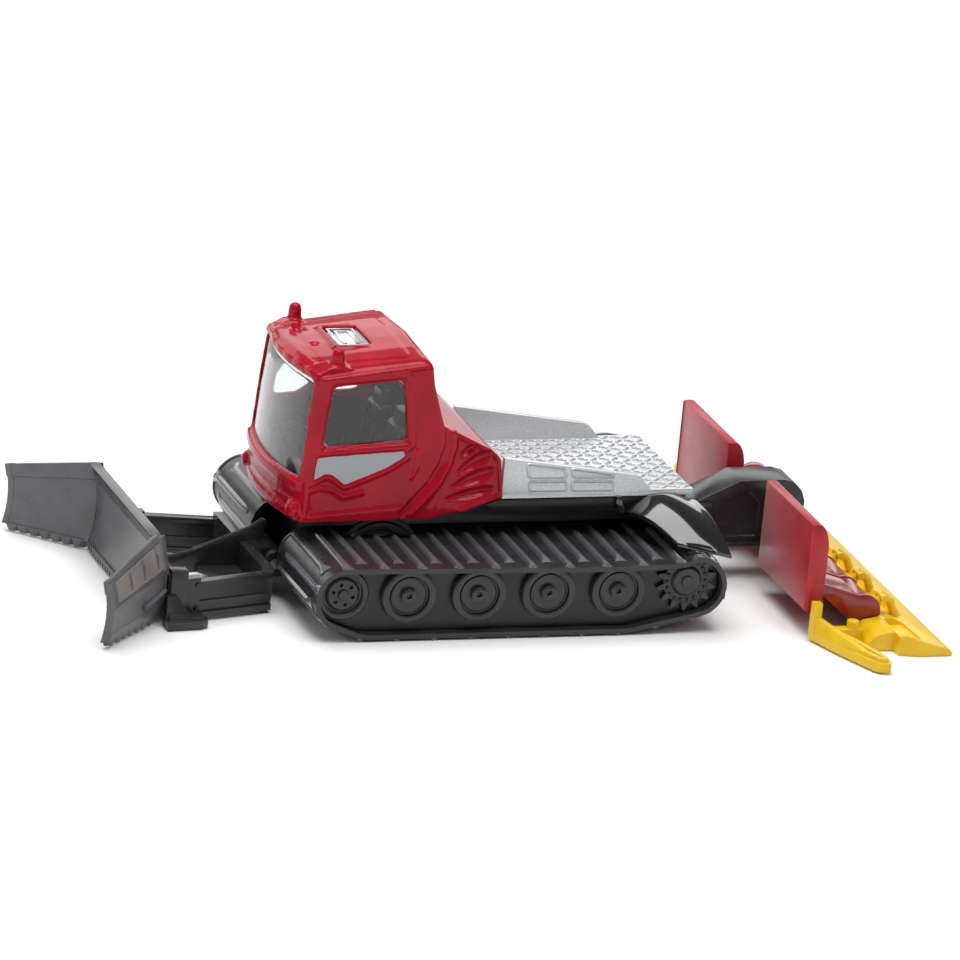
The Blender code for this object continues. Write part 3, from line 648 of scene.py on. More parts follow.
class Solid:
    """A solid being made, in millimetres."""

    def __init__(self, name: str, *shapes: Shape) -> None:
        """Start from one or more closed shapes."""
        self.mesh_object = bpy.data.objects.new(name, bpy.data.meshes.new(name))
        bpy.context.scene.collection.objects.link(self.mesh_object)
        whole = bmesh.new()
        for shape in shapes:
            bmesh.ops.recalc_face_normals(shape, faces=shape.faces)
            if shape.calc_volume(signed=True) < 0:
                bmesh.ops.reverse_faces(shape, faces=shape.faces)
            spare = bpy.data.meshes.new("spare")
            shape.to_mesh(spare)
            shape.free()
            whole.from_mesh(spare)
            bpy.data.meshes.remove(spare)
        whole.to_mesh(self.mesh_object.data)
        whole.free()

    def bake(self) -> Solid:
        """Apply the modifiers."""
        bpy.context.view_layer.update()
        graph = bpy.context.evaluated_depsgraph_get()
        mesh = bpy.data.meshes.new_from_object(self.mesh_object.evaluated_get(graph))
        old = self.mesh_object.data
        self.mesh_object.modifiers.clear()
        self.mesh_object.data = mesh
        bpy.data.meshes.remove(old)
        return self

    def join(self, how: Joining, *others: Solid) -> Solid:
        """Add, take away or keep what others hold; the others are used up.

        Args:
            how: which of the three.
            others: the solids to join, which are used up.

        Returns:
            This solid.
        """
        for other in others:
            step = self.mesh_object.modifiers.new("join", "BOOLEAN")
            step.operation = how.value
            step.solver = "MANIFOLD"
            step.object = other.mesh_object
        self.bake()
        for other in others:
            other.drop()
        return self

    def add(self, *others: Solid) -> Solid:
        """Return this solid with others added."""
        return self.join(Joining.ADD, *others)

    def take(self, *others: Solid) -> Solid:
        """Return this solid with others taken away."""
        return self.join(Joining.TAKE, *others)

    def keep(self, *others: Solid) -> Solid:
        """Return what this solid and others both hold."""
        return self.join(Joining.KEEP, *others)

    def merge(self, *others: Solid) -> Solid:
        """Gather others into this mesh without cutting them."""
        whole = bmesh.new()
        whole.from_mesh(self.mesh_object.data)
        for other in others:
            whole.from_mesh(other.mesh_object.data)
            other.drop()
        whole.to_mesh(self.mesh_object.data)
        whole.free()
        return self

    def drop(self) -> None:
        """Remove the solid."""
        mesh = self.mesh_object.data
        bpy.data.objects.remove(self.mesh_object, do_unlink=True)
        bpy.data.meshes.remove(mesh)

    def bevel(self, width: float, segments: int = 2, angle: float = 30.0) -> Solid:
        """Round the edges that are sharper than an angle in degrees.

        Args:
            width: width of the rounding.
            segments: how many flats it has.
            angle: the least angle rounded, in degrees.

        Returns:
            This solid.
        """
        step = self.mesh_object.modifiers.new("bevel", "BEVEL")
        step.width = width
        step.segments = segments
        step.limit_method = "ANGLE"
        step.angle_limit = math.radians(angle)
        return self.bake()

    def cast(self, voxel: float, passes: int = 4, keep: float = 1.0) -> Solid:
        """Soften the whole form as paint and a worn mould do.

        Args:
            voxel: size of the cells the form is rebuilt from.
            passes: how many times it is smoothed.
            keep: the share of triangles kept.

        Returns:
            This solid.
        """
        grid = self.mesh_object.modifiers.new("grid", "REMESH")
        grid.mode = "VOXEL"
        grid.voxel_size = voxel
        soften = self.mesh_object.modifiers.new("soften", "SMOOTH")
        soften.factor = 0.5
        soften.iterations = passes
        if keep < 1:
            thin = self.mesh_object.modifiers.new("thin", "DECIMATE")
            thin.ratio = keep
        return self.bake()

    def finish(
        self, body: str, slot: str, finish: Finish, stands_for: Sequence[str] = (), angle: float = 35.0
    ) -> bpy.types.Object:
        """Bring the solid to metres, dress it and hand it to the frame.

        Args:
            body: the body that it rides on.
            slot: the record's material slot; it is not used.
            finish: what it is finished in.
            stands_for: the CAD nodes that it replaces.
            angle: edges sharper than this many degrees stay crisp.

        Returns:
            The finished piece.
        """
        made = self.mesh_object
        made.data.transform(Matrix.Scale(MM, 4))
        made.data.materials.clear()
        made.data.materials.append(finish.material())
        made.data.shade_smooth()
        made.data.set_sharp_from_angle(angle=math.radians(angle))
        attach(made, body)
        if stands_for:
            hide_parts(*stands_for)
        made.data.calc_loop_triangles()
        LOG.info("%s: %d triangles on %s, %s", made.name, len(made.data.loop_triangles), body, finish.name)
        return made


def plate(name: str, outline: Sequence[Point2], plane: Plane, low: float, high: float) -> Solid:
    """Return a solid with a flat outline and a thickness from low to high across its plane."""
    return Solid(name, prism(outline, plane, low, high))


# ---------------------------------------------------------------- tracks and wheels


@dataclass
class Track:
    """One moulded loop of track with its raised bars, the wall inside it and the wheels on the wall."""

    side: int
    inner: float = 5.5
    outer: float = 22.0
    belt: float = 0.5
    bar_height: float = 0.45
    bar_count: int = 48
    gap: float = 0.1
    sag: float = 0.85
    sag_shape: float = 0.42
    rim: float = 0.3
    rim_height: float = 0.14
    long_bar: Point2 = (8.1, 21.95)
    short_bar: Point2 = (5.7, 19.8)
    web_recess: float = 1.5
    wheel_radius: float = 3.6
    first_wheel_x: float = 14.65
    wheel_pitch: float = 9.4
    wheel_z: float = 5.85
    arcs: tuple[tuple[float, float, float], ...] = (
        (23.2, 5.75, 4.45), (19.5, 6.45, 6.45), (-14.5, 8.45, 8.45), (-24.0, 6.3, 4.35),
    )

    def tangent(self, first: Sequence[float], second: Sequence[float]) -> float:
        """Return the way, in degrees, that the belt faces between two arcs.

        Args:
            first: X, Z and radius of the arc that it leaves.
            second: the same for the arc that it meets.

        Returns:
            The direction in degrees.
        """
        across, up = first[0] - second[0], first[1] - second[1]
        lean = math.acos((second[2] - first[2]) / math.hypot(across, up))
        return math.degrees(math.atan2(up, across) - lean)

    def path(self, inset: float, steps: int = 16) -> list[Point2]:
        """Return the loop this far inside the bars' crests, from the idler round under the wheels.

        Args:
            inset: how far inside the crests.
            steps: pieces of each arc.

        Returns:
            The loop's points, X and Z.
        """
        loop: list[Point2] = []
        arcs = list(self.arcs)
        for before, this, after in zip(arcs[-1:] + arcs[:-1], arcs, arcs[1:] + arcs[:1]):
            start, end = self.tangent(before, this), self.tangent(this, after)
            end -= 360 * math.ceil((end - start) / 360)
            loop += arc((this[0], this[1]), this[2] - inset, start, end, steps)
        rear, front = loop[-1], loop[0]
        for i in range(1, 2 * steps):
            share = i / (2 * steps)
            dip = self.sag * math.sin(math.pi * share**self.sag_shape)
            loop.append(
                (rear[0] + (front[0] - rear[0]) * share, rear[1] + (front[1] - rear[1]) * share - dip)
            )
        return loop

    def spot(self, loop: Sequence[Point2], share: float) -> tuple[Vector, Vector]:
        """Return the point at a share of the way round, and the direction out of the loop.

        Args:
            loop: the loop's points.
            share: how far round it, from 0 to 1.

        Returns:
            The point and the direction.
        """
        ends = list(zip(loop, list(loop[1:]) + [loop[0]]))
        lengths = [math.dist(a, b) for a, b in ends]
        left = (share % 1.0) * sum(lengths)
        for (a, b), length in zip(ends, lengths):
            if left <= length and length > 1e-6:
                way = Vector((b[0] - a[0], b[1] - a[1])) / length
                return Vector(a) + way * left, Vector((-way.y, way.x))
            left -= length
        return Vector(loop[0]), Vector((0, 1))

    def belt_shape(self) -> Shape:
        """Return the hoop, with a thin raised rim along both edges."""
        inset = self.bar_height
        low = -self.belt
        section = [
            (self.inner, low), (self.inner, self.rim_height), (self.inner + self.rim, self.rim_height),
            (self.inner + self.rim + 0.1, 0.0), (self.outer - self.rim - 0.1, 0.0),
            (self.outer - self.rim, self.rim_height), (self.outer, self.rim_height), (self.outer, low),
        ]
        loops = [self.path(inset - lift) for _, lift in section]
        rings = [
            [(loops[k][i][0], self.side * section[k][0], loops[k][i][1]) for k in range(len(section))]
            for i in range(len(loops[0]))
        ]
        return loft(rings, closed=True)

    def bar_shape(self, share: float, reach: Point2, loop: Sequence[Point2]) -> Shape:
        """Return one raised bar, flared and lowered at its outer end.

        Args:
            share: where it lies round the loop.
            reach: how far out from the middle it starts and ends.
            loop: the belt's outer loop.

        Returns:
            The closed shape.
        """
        point, out = self.spot(loop, share)
        way = Vector((out.y, -out.x))
        tall = self.bar_height
        start, end = reach
        stations = [
            (start, 0.10, 0.30, 0.18), (start + 1.3, tall, 0.50, 0.24), (end - 2.0, tall, 0.52, 0.24),
            (end - 1.1, tall * 0.92, 0.60, 0.26), (end - 0.55, tall * 0.55, 0.88, 0.46),
            (end, tall * 0.30, 1.02, 0.62),
        ]
        rings: list[list[Point3]] = []
        for y, height, foot, crest in stations:
            ring: list[Point3] = []
            for across, up in (
                (-foot, -0.15), (-foot * 0.85, height * 0.25), (-crest - 0.05, height * 0.8),
                (-crest * 0.45, height), (crest * 0.45, height), (crest + 0.05, height * 0.8),
                (foot * 0.85, height * 0.25), (foot, -0.15),
            ):
                place = point + way * across + out * up
                ring.append((place.x, self.side * y, place.y))
            rings.append(ring)
        return loft(rings)

    def boss_shape(self, share: float, loop: Sequence[Point2]) -> Shape:
        """Return the small lump under the rim where a long bar meets the edge.

        Args:
            share: where it lies round the loop.
            loop: the belt's outer loop.

        Returns:
            The closed shape.
        """
        point, out = self.spot(loop, share)
        way = Vector((out.y, -out.x))
        low, high = self.outer - 0.5, self.outer - 0.02
        rings = []
        for y, size in ((low, 0.5), (high - 0.12, 0.5), (high, 0.38)):
            corners = ((-size, -0.1), (-size * 0.6, 0.30), (size * 0.6, 0.30), (size, -0.1))
            ring = []
            for across, up in corners:
                place = point + way * across + out * up
                ring.append((place.x, self.side * y, place.y))
            rings.append(ring)
        return loft(rings)

    def build_belt(self) -> None:
        """Make the loop with its bars."""
        loop = self.path(self.bar_height)
        bars: list[Shape] = []
        for i in range(self.bar_count):
            reach = self.long_bar if i % 2 == 0 else self.short_bar
            bars.append(self.bar_shape(i / self.bar_count, reach, loop))
            if i % 2 == 0:
                bars.append(self.boss_shape(i / self.bar_count, loop))
        name = side_name(self.side)
        belt = Solid("track_belt_" + name, self.belt_shape())
        belt.finish("chassis", "track_black", TRACK_PLASTIC, ["track_" + name], 28)
        Solid("track_bars_" + name, *bars).finish("chassis", "track_black", BAR_PLASTIC, (), 28)

    def wheel_profile(self, radius: float, depth: float) -> list[Point2]:
        """Return the tyre, its groove, the dished disc and the hub, from the hub's middle outward."""
        return [
            (0.32, depth * 0.55), (0.34, depth * 0.98), (0.40, depth * 1.05),
            (radius * 0.24, depth * 1.05), (radius * 0.28, depth * 0.95), (radius * 0.29, depth * 0.42),
            (radius * 0.62, depth * 0.55), (radius * 0.655, depth * 0.78), (radius * 0.675, depth * 0.80),
            (radius * 0.695, depth * 0.45), (radius * 0.735, depth * 0.45), (radius * 0.755, depth * 0.92),
            (radius * 0.80, depth * 1.0), (radius * 0.93, depth * 1.0), (radius * 0.98, depth * 0.88),
            (radius, depth * 0.62), (radius, 0.0),
        ]

    def inside(self) -> list[Point2]:
        """Return the outline of the space inside the belt."""
        loop = self.path(self.bar_height + self.belt + self.gap)
        return [p for i, p in enumerate(loop) if math.dist(p, loop[i - 1]) > 1e-4]

    def trimmed(self, wheel: Solid, low: float, high: float) -> Solid:
        """Keep the part of a wheel that lies inside the belt."""
        clean = self.inside()
        return wheel.keep(plate("trim", clean, Plane.SIDE, *span(self.side, low, high)))

    def build_wheels(self) -> None:
        """Make the idler, the four road wheels and the sprocket."""
        name = side_name(self.side)
        back = self.outer - self.web_recess + self.gap
        depth = 0.9
        axis = (0, self.side, 0)
        for i in range(4):
            centre = (self.first_wheel_x - i * self.wheel_pitch, self.side * back, self.wheel_z)
            profile = self.wheel_profile(self.wheel_radius, depth)
            wheel = Solid(f"wheel_{i + 1}_{name}", turned(profile, centre, axis, 56))
            self.trimmed(wheel, back - 1, back + 2).finish(
                "chassis", "track_black", TRACK_PLASTIC, [f"road_wheel_{i + 1}_{name}"]
            )
        self.build_idler(back, depth)
        self.build_sprocket(back, depth)

    def build_idler(self, back: float, depth: float) -> None:
        """Make the front wheel, a disc with a ring of six holes in a plain tyre.

        Args:
            back: distance of the disc's back from the middle.
            depth: its thickness.
        """
        name = side_name(self.side)
        x, z = self.arcs[0][0] + 0.3, self.arcs[0][1] + 0.5
        profile = [
            (0.3, depth * 1.1), (0.62, depth * 1.1), (0.7, depth * 0.95), (0.74, depth * 0.7),
            (1.95, depth * 0.7), (2.1, depth * 0.55), (2.3, depth * 0.3), (2.5, depth * 0.35),
            (2.62, depth * 0.8), (2.8, depth * 0.95), (3.2, depth * 0.95), (3.4, depth * 0.7), (3.4, 0.0),
        ]
        wheel = Solid(
            "idler_wheel_" + name, turned(profile, (x, self.side * back, z), (0, self.side, 0), 56)
        )
        holes = []
        for k in range(6):
            turn = math.radians(60 * k + 15)
            hx, hz = x + 1.36 * math.cos(turn), z + 1.36 * math.sin(turn)
            ends = ((hx, self.side * (back + depth * 0.3), hz), (hx, self.side * (back + 2), hz))
            holes.append(Solid("hole", rod(*ends, 0.26, 14)))
        wheel.take(*holes)
        self.trimmed(wheel, back - 1, back + 2).finish(
            "chassis", "track_black", TRACK_PLASTIC, ["idler_" + name]
        )

    def build_sprocket(self, back: float, depth: float) -> None:
        """Make the rear wheel, with studs round its disc and teeth that meet the belt.

        Args:
            back: distance of the disc's back from the middle.
            depth: its thickness.
        """
        name = side_name(self.side)
        x, z = self.arcs[3][0] + 1.2, self.arcs[3][1] + 0.6
        profile = [
            (0.3, depth * 1.0), (0.7, depth * 1.0), (0.78, depth * 0.75), (1.7, depth * 0.85),
            (1.9, depth * 0.6), (2.05, depth * 0.35), (3.1, depth * 0.5), (3.1, 0.0),
        ]
        wheel = Solid(
            "sprocket_wheel_" + name, turned(profile, (x, self.side * back, z), (0, self.side, 0), 56)
        )
        studs = []
        for k in range(18):
            turn = 2 * math.pi * k / 18
            sx, sz = x + 2.62 * math.cos(turn), z + 2.62 * math.sin(turn)
            tall = depth * 0.85 - 0.1
            stud = [(0.22, 0), (0.2, tall * 0.85), (0.1, tall)]
            foot = (sx, self.side * (back + 0.1), sz)
            studs.append(Solid("stud", turned(stud, foot, (0, self.side, 0), 10)))
        teeth = []
        low, high = back + 0.05, back + depth * 0.62
        for k in range(14):
            turn = 2 * math.pi * (k + 0.5) / 14
            out = Vector((math.cos(turn), 0, math.sin(turn)))
            over = Vector((-out.z, 0, out.x))
            hub = Vector((x, 0, z))
            rings = []
            for reach, half in ((2.9, 0.42), (3.5, 0.34), (4.0, 0.12)):
                ring = []
                for w, y in ((-half, low), (half, low), (half, high), (-half, high)):
                    spot = hub + out * reach + over * w
                    ring.append((spot.x, self.side * y, spot.z))
                rings.append(ring)
            teeth.append(Solid("tooth", loft(rings)))
        wheel.add(*teeth)
        wheel = self.trimmed(wheel, back - 1, back + 2)
        wheel.merge(*studs).finish("chassis", "track_black", TRACK_PLASTIC, ["sprocket_" + name])

    def build_wall(self) -> None:
        """Make the wall behind the wheels."""
        name = side_name(self.side)
        clean = self.inside()
        face = self.outer - self.web_recess
        wall = plate("wheel_wall_" + name, clean, Plane.SIDE, *span(self.side, self.inner, face))
        wall.finish("chassis", "track_black", CHASSIS_PLASTIC, ["track_frame_" + name])

    def build(self) -> None:
        """Make the whole track."""
        self.build_belt()
        self.build_wall()
        self.build_wheels()


# ---------------------------------------------------------------- cab


@dataclass
class Cab:
    """The red casting, its clear insert and what shows through the windows."""

    half: float = 10.85
    wall: float = 0.9
    bottom: float = 12.3
    bow: float = 1.7
    corner: float = 0.9
    roof_round: float = 1.3
    crown: float = 0.9
    front_foot: float = 26.75
    rear_low: float = 8.0
    door_window: tuple[Point2, ...] = ((23.6, 30.3), (14.2, 31.1), (13.0, 23.0), (24.3, 22.3))
    door_panel: tuple[Point2, ...] = (
        (25.0, 21.0), (13.4, 21.75), (13.2, 20.9), (15.5, 19.4), (21.0, 17.2), (21.9, 17.9), (22.9, 18.65),
        (23.8, 18.7), (25.3, 17.8),
    )
    rear_window: tuple[Point2, Point2] = ((-8.1, 25.6), (8.1, 31.2))
    skylight: tuple[Point2, Point2] = ((16.5, -3.6), (20.9, 3.6))
    beacon: Point3 = (22.8, 9.0, 31.9)
    beacon_radius: float = 0.85
    top_of_all: float = 35.0

    def front_lean(self, z: float) -> float:
        """Return how far the front stands behind the windscreen's foot at a height."""
        return between(((12.3, -0.1), (17.4, 0.0), (24.0, -0.4), (31.9, -1.15)), z)

    def rear(self, z: float) -> float:
        """Return X of the cab's back at a height."""
        return between(((12.3, self.rear_low), (24.6, self.rear_low), (33.4, 10.9)), z)

    def roof(self, x: float) -> float:
        """Return the roof's height at its sides."""
        return 31.9 + (25.4 - x) * 0.103

    def plan(self, z: float, inset: float, half: float) -> list[Point2]:
        """Return the cab's outline seen from above at one height, this far inside its skin.

        Args:
            z: the height.
            inset: how far inside the skin.
            half: half its width.

        Returns:
            The outline's points, X and Y.
        """
        lean = self.front_lean(z) - inset
        points: list[Point2] = []
        edge = half - self.corner
        for i in range(7):
            y = edge * i / 6
            points.append((self.front_foot + lean + self.bow * (1 - (y / self.half) ** 2), y))
        x_edge, _ = points[-1]
        for turn in (60, 30, 0):
            a = math.radians(turn)
            points.append(
                (x_edge - self.corner * (1 - math.sin(a)) - 0.12, edge + self.corner * math.cos(a))
            )
        back = self.rear(z) + inset
        points.append(((points[-1][0] + back) / 2, half))
        for turn in (0, 45, 90):
            a = math.radians(turn)
            points.append((back + 0.6 * (1 - math.sin(a)), half - 0.6 * (1 - math.cos(a))))
        points.append((back, 0.0))
        mirror = [(x, -y) for x, y in reversed(points[1:-1])]
        return points + mirror

    def body(self, name: str, inset: float, foot: float) -> Solid:
        """Skin the cab's upright part, this far inside its skin, from a foot to the crowned roof.

        Args:
            name: the solid's name.
            inset: how far inside the skin.
            foot: height of its foot.

        Returns:
            The solid.
        """
        half = self.half - inset
        rings: list[list[Point3]] = []
        for z in (foot, 13.2, 15.0, 16.4, 17.4, 20.0, 24.6, 28.0, 30.2):
            rings.append([(x, y, z) for x, y in self.plan(z, inset, half)])
        for step in range(1, 6):
            turn = math.radians(18 * step)
            pull = self.roof_round * (1 - math.cos(turn))
            ring = []
            for x, y in self.plan(31.2, inset + pull, half - pull):
                crown = self.crown * (1 - (y / self.half) ** 2) * math.sin(turn)
                top = self.roof(x) - inset + crown
                ring.append((x, y, top - self.roof_round * (1 - math.sin(turn))))
            rings.append(ring)
        for share in (0.6, 0.2):
            ring = []
            for x, y in self.plan(31.2, inset + self.roof_round, half - self.roof_round):
                ys = y * share
                crown = self.crown * (1 - (ys / self.half) ** 2)
                ring.append((x, ys, self.roof(x) - inset + crown))
            rings.append(ring)
        return Solid(name, loft(rings))

    def fairing(self) -> Solid:
        """Return the hollow housing behind the cab; the casting cuts its fan of scoops on each side."""
        outer, inner = self.half - 0.05, self.half - 0.05 - self.wall
        outline = [
            (12.5, 24.8), (8.6, 24.9), (1.6, 21.5), (0.2, 20.5), (-0.5, 15.0), (5.3, 13.1), (9.8, 12.3),
            (12.5, 12.3),
        ]
        shell = plate("fairing", rounded(outline, 0.9), Plane.SIDE, -outer, outer)
        room = [(14, 23.3), (8.6, 23.4), (1.7, 19.8), (0.5, 14.0), (0.5, 10.0), (14, 10.0)]
        shell.take(plate("hollow", room, Plane.SIDE, -inner, inner))
        return shell

    def scoops(self, side: int) -> list[Solid]:
        """Return the cutters of the four leaf-shaped louvres."""
        level = side * (self.half + 0.1)
        made = []
        for start, end, width in (
            ((6.2, 20.3), (3.3, 22.4), 1.1), ((6.8, 17.7), (1.2, 21.5), 1.9),
            ((7.4, 16.0), (0.5, 19.1), 2.0), ((8.2, 14.6), (0.4, 16.4), 1.5),
        ):
            made.append(Solid("scoop", leaf(start, end, width, 0.85, level)))
        return made

    def screen_outline(self) -> list[Point2]:
        """Return the windscreen's opening seen from the front."""
        low = [(10.0, 18.9), (9.6, 18.1), (6.0, 17.9), (0.0, 17.8)]
        high = [(9.75, 30.4), (9.2, 30.9)]
        right = low[:1] + high
        left = [(-y, z) for y, z in reversed(right)]
        foot = [(-y, z) for y, z in low[1:]] + list(reversed(low[1:3]))
        return right + left + foot

    def openings(self, spare: float) -> list[Solid]:
        """Return cutters, or plugs this much smaller, for all the windows."""
        door = rounded(grown(self.door_window, -spare), 0.7)
        screen = grown(self.screen_outline(), -spare)
        back = rounded(oblong(*self.rear_window, spare), 0.8)
        roof = rounded(oblong(*self.skylight, spare), 0.4)
        return [
            plate("door_left_hole", door, Plane.SIDE, 8.0, 12.0),
            plate("door_right_hole", door, Plane.SIDE, -12.0, -8.0),
            plate("screen_hole", screen, Plane.FRONT, 21.5, 32.0),
            plate("rear_hole", back, Plane.FRONT, 6.0, 13.2),
            plate("roof_hole", roof, Plane.TOP, 30.6, 36.0),
        ]

    def band(self, low: float, high: float, proud: float, reach: float) -> Solid:
        """Return a raised band that follows the nose between two heights.

        Args:
            low: its lower height.
            high: its upper height.
            proud: how far it stands out.
            reach: half its width.

        Returns:
            The solid.
        """
        ahead: list[Point2] = []
        for i in range(-10, 11):
            y = reach * i / 10
            ahead.append((self.front_foot + self.bow * (1 - (y / self.half) ** 2) + proud, y))
        ring = ahead + [(22.0, reach), (22.0, -reach)]
        lean = self.front_lean((low + high) / 2)
        moved = [(x + lean if x > 22.0 else x, y) for x, y in ring]
        return plate("band", moved, Plane.TOP, low, high)

    def proud(self, side: int, by: float) -> tuple[float, float]:
        """Return the low and the high Y of a detail that stands this proud of one side."""
        return span(side, self.half - 0.5, self.half + by)

    def side_trim(self, side: int) -> list[Solid]:
        """Return the raised lines on one side: door frame, roof gutter, panel rim, sill and pillar ribs."""
        frame_out = rounded([(24.75, 31.5), (13.2, 32.25), (11.9, 21.9), (25.35, 21.15)], 0.9)
        frame_in = rounded(grown(self.door_window, 0.45), 0.8)
        door = plate("frame", frame_out, Plane.SIDE, *self.proud(side, 0.28))
        door.take(plate("in", frame_in, Plane.SIDE, -20, 20))
        rim = plate("rim", rounded(grown(self.door_panel, 0.55), 0.3), Plane.SIDE, *self.proud(side, 0.25))
        rim.take(plate("in", rounded(grown(self.door_panel, 0.12), 0.2), Plane.SIDE, -20, 20))
        y = side * self.half
        pillar = [
            (self.front_foot + self.front_lean(z) - 0.75, y - side * 0.15, z)
            for z in (31.3, 24.0, 17.4, 12.9)
        ]
        back = [
            (7.0, y, 24.3), (6.6, y, 22.2), (7.2, y, 19.6), (8.4, y, 17.0), (10.4, y, 14.6), (11.9, y, 13.0)
        ]
        lines = [
            (((25.3, y, 31.25), (18.0, y, 32.15), (11.2, y, 32.95)), 0.34), (pillar, 0.42),
            (((26.3, y, 16.3), (24.2, y, 16.9), (22.6, y, 16.6), (21.0, y, 15.6), (18.4, y, 16.2)), 0.26),
            (((11.7, y, 21.8), (11.4, y, 19.5), (12.2, y, 17.9)), 0.24), (back, 0.4),
            (((6.4, y, 23.7), (1.6, y, 21.3), (0.45, y, 20.2), (-0.3, y, 15.3), (5.3, y, 13.3)), 0.3),
        ]
        sill = [(26.7, 12.3), (26.6, 13.1), (12.4, 14.3), (13.2, 12.9), (13.6, 12.3)]
        made = [door, rim, plate("sill", sill, Plane.SIDE, *self.proud(side, 0.2))]
        return made + [Solid("line", tube(path, radius, 8)) for path, radius in lines]

    def hump_shape(self, side: int) -> Shape:
        """Return the hump under a beacon: four sections from the visor back to its tail.

        Args:
            side: 1 for the left hump and -1 for the right.

        Returns:
            The closed shape.
        """
        x, y, z = self.beacon
        foot = ((1.5, -0.9), (-1.7, -0.6))
        sections = (
            ((3.4, 3.6, 3.4, 3.1), ((1.3, -0.9), (-1.6, -0.6), (-1.6, 0.1), (1.2, -0.2))),
            ((1.2, 1.2, 1.1, 1.1), (*foot, (-1.3, 1.15), (1.2, 0.85))),
            ((-1.2, -1.2, -1.1, -1.1), (*foot, (-1.3, 0.95), (1.2, 0.75))),
            ((-2.6, -2.6, -2.6, -2.6), ((1.2, -0.9), (-1.6, -0.6), (-1.4, 0.4), (1.0, 0.2))),
        )
        return loft(
            [[(x + u, side * (y + v), z + w) for u, (v, w) in zip(*section)] for section in sections]
        )

    def roof_details(self) -> list[Solid]:
        """Return the visor with its lamps, the beacons on their humps and the skylight's frame."""
        made: list[Solid] = []
        visor: list[Point2] = []
        for i in range(-12, 13):
            y = 10.2 * i / 12
            scallop = 0.22 * abs(math.sin(math.pi * 3 * i / 12))
            visor.append((self.front_foot + self.bow * (1 - (y / self.half) ** 2) - 1.35 + scallop, y))
        visor += [(22.5, 10.2), (22.5, -10.2)]
        made.append(plate("visor", visor, Plane.TOP, 31.0, 31.95))
        for side in SIDES:
            for y, radius in ((8.7, 0.85), (6.3, 0.8)):
                x = self.front_foot + self.bow * (1 - (y / self.half) ** 2) - 2.0
                lamp = [(0.3, 0.75), (radius * 0.8, 0.62), (radius, 0.2), (radius, -1.2), (0.3, -1.2)]
                made.append(Solid("lamp", turned(lamp, (x, side * y, 31.25), (1, 0, -0.1), 20)))
            x, y, z = self.beacon
            made.append(Solid("hump", self.hump_shape(side)))
            height = self.top_of_all - z
            r = self.beacon_radius
            profile = [
                (r * 1.3, 0.3), (r * 1.22, 1.0), (r * 1.02, 1.15), (r, height * 0.68),
                (r * 0.9, height * 0.86), (r * 0.6, height * 0.97), (r * 0.15, height),
            ]
            made.append(Solid("beacon", turned(profile, (x, side * y, z), (0, 0, 1), 24)))
        ring = rounded(oblong(*self.skylight, -0.7), 0.5)
        made.append(plate("frame", ring, Plane.TOP, 31.8, self.roof(18.7) + self.crown + 0.12))
        panel = rounded([(24.2, 7.6), (13.0, 8.6), (13.0, -8.6), (24.2, -7.6)], 1.0)
        raised = plate("panel", panel, Plane.TOP, 31.0, 36.0)
        raised.keep(self.body("skin", -0.07, self.bottom))
        return made + [raised]

    def nose(self) -> list[Solid]:
        """Return the bands round the nose, the grab step and the two lamp pods."""
        made = [
            self.band(16.35, 17.75, 0.42, 10.3),
            self.band(14.5, 14.85, 0.12, 10.2),
            self.band(12.3, 13.5, 0.28, 10.2),
        ]
        for side in SIDES:
            pod = [(0.25, 1.3), (0.8, 1.15), (1.15, 0.7), (1.25, 0.0), (1.2, -1.5)]
            made.append(Solid("pod", turned(pod, (26.7, side * 9.35, 13.7), (1, side * 0.25, -0.15), 24)))
        return made

    def casting(self) -> None:
        """Make the painted casting, hollow, with its windows cut."""
        shell = self.body("cab_casting", 0.0, self.bottom)
        for extra in self.roof_details() + self.nose():
            shell.add(extra)
        shell.add(self.fairing())
        for side in SIDES:
            shell.add(*self.side_trim(side))
        shell.take(self.body("cavity", self.wall, self.bottom - 2))
        shell.take(*self.openings(0.0))
        for side in SIDES:
            shell.take(*self.scoops(side))
            y = side * (self.half + 0.1)
            seam = (
                (7.9, y, 24.9), (7.6, y, 22.4), (8.3, y, 19.7), (9.5, y, 17.3), (11.4, y, 15.0),
                (13.2, y, 12.9),
            )
            shell.take(Solid("seam", tube(seam, 0.42, 8)))
        for y, x in ((-4.6, 23.3), (1.6, 23.5)):
            z = self.roof(x) + self.crown * (1 - (y / self.half) ** 2)
            pit = turned([(0.2, -0.3), (0.62, -0.12), (0.75, 0.5)], (x, y, z), (0, 0, 1), 20)
            shell.take(Solid("pit", pit))
        shell.cast(0.19, 4, 0.62).finish("chassis", "red_enamel", RED_ENAMEL, ["cab_shell"], 60)

    def panels(self) -> None:
        """Make the two silver prints on the doors."""
        for side in SIDES:
            low, high = span(side, self.half - 0.1, self.half + 0.06)
            panel = plate(
                "door_panel_" + side_name(side), rounded(self.door_panel, 0.25), Plane.SIDE, low, high
            )
            panel.bevel(0.04, 1).finish("chassis", "silver_paint", DOOR_SILVER)

    def glazing(self) -> None:
        """Make the clear insert: a pane in each window, and two nested lips in the skylight."""
        panes = self.openings(-0.12)
        clear = panes[0].add(*panes[1:])
        clear.mesh_object.name = "cab_clear_insert"
        clear.keep(self.body("outer", 0.3, 16.6))
        clear.take(self.body("hollow", 0.8, 14.0))
        top = self.roof(18.7) + self.crown - 0.1
        for inset in (0.35, 1.15):
            ring = oblong(*self.skylight, inset)
            lip = plate("lip", ring, Plane.TOP, top - 0.4, top)
            lip.take(plate("in", grown(ring, -0.35), Plane.TOP, top - 2, top + 2))
            clear.merge(lip)
        clear.finish("chassis", "clear_plastic", CLEAR, ["cab_glazing"], 30)

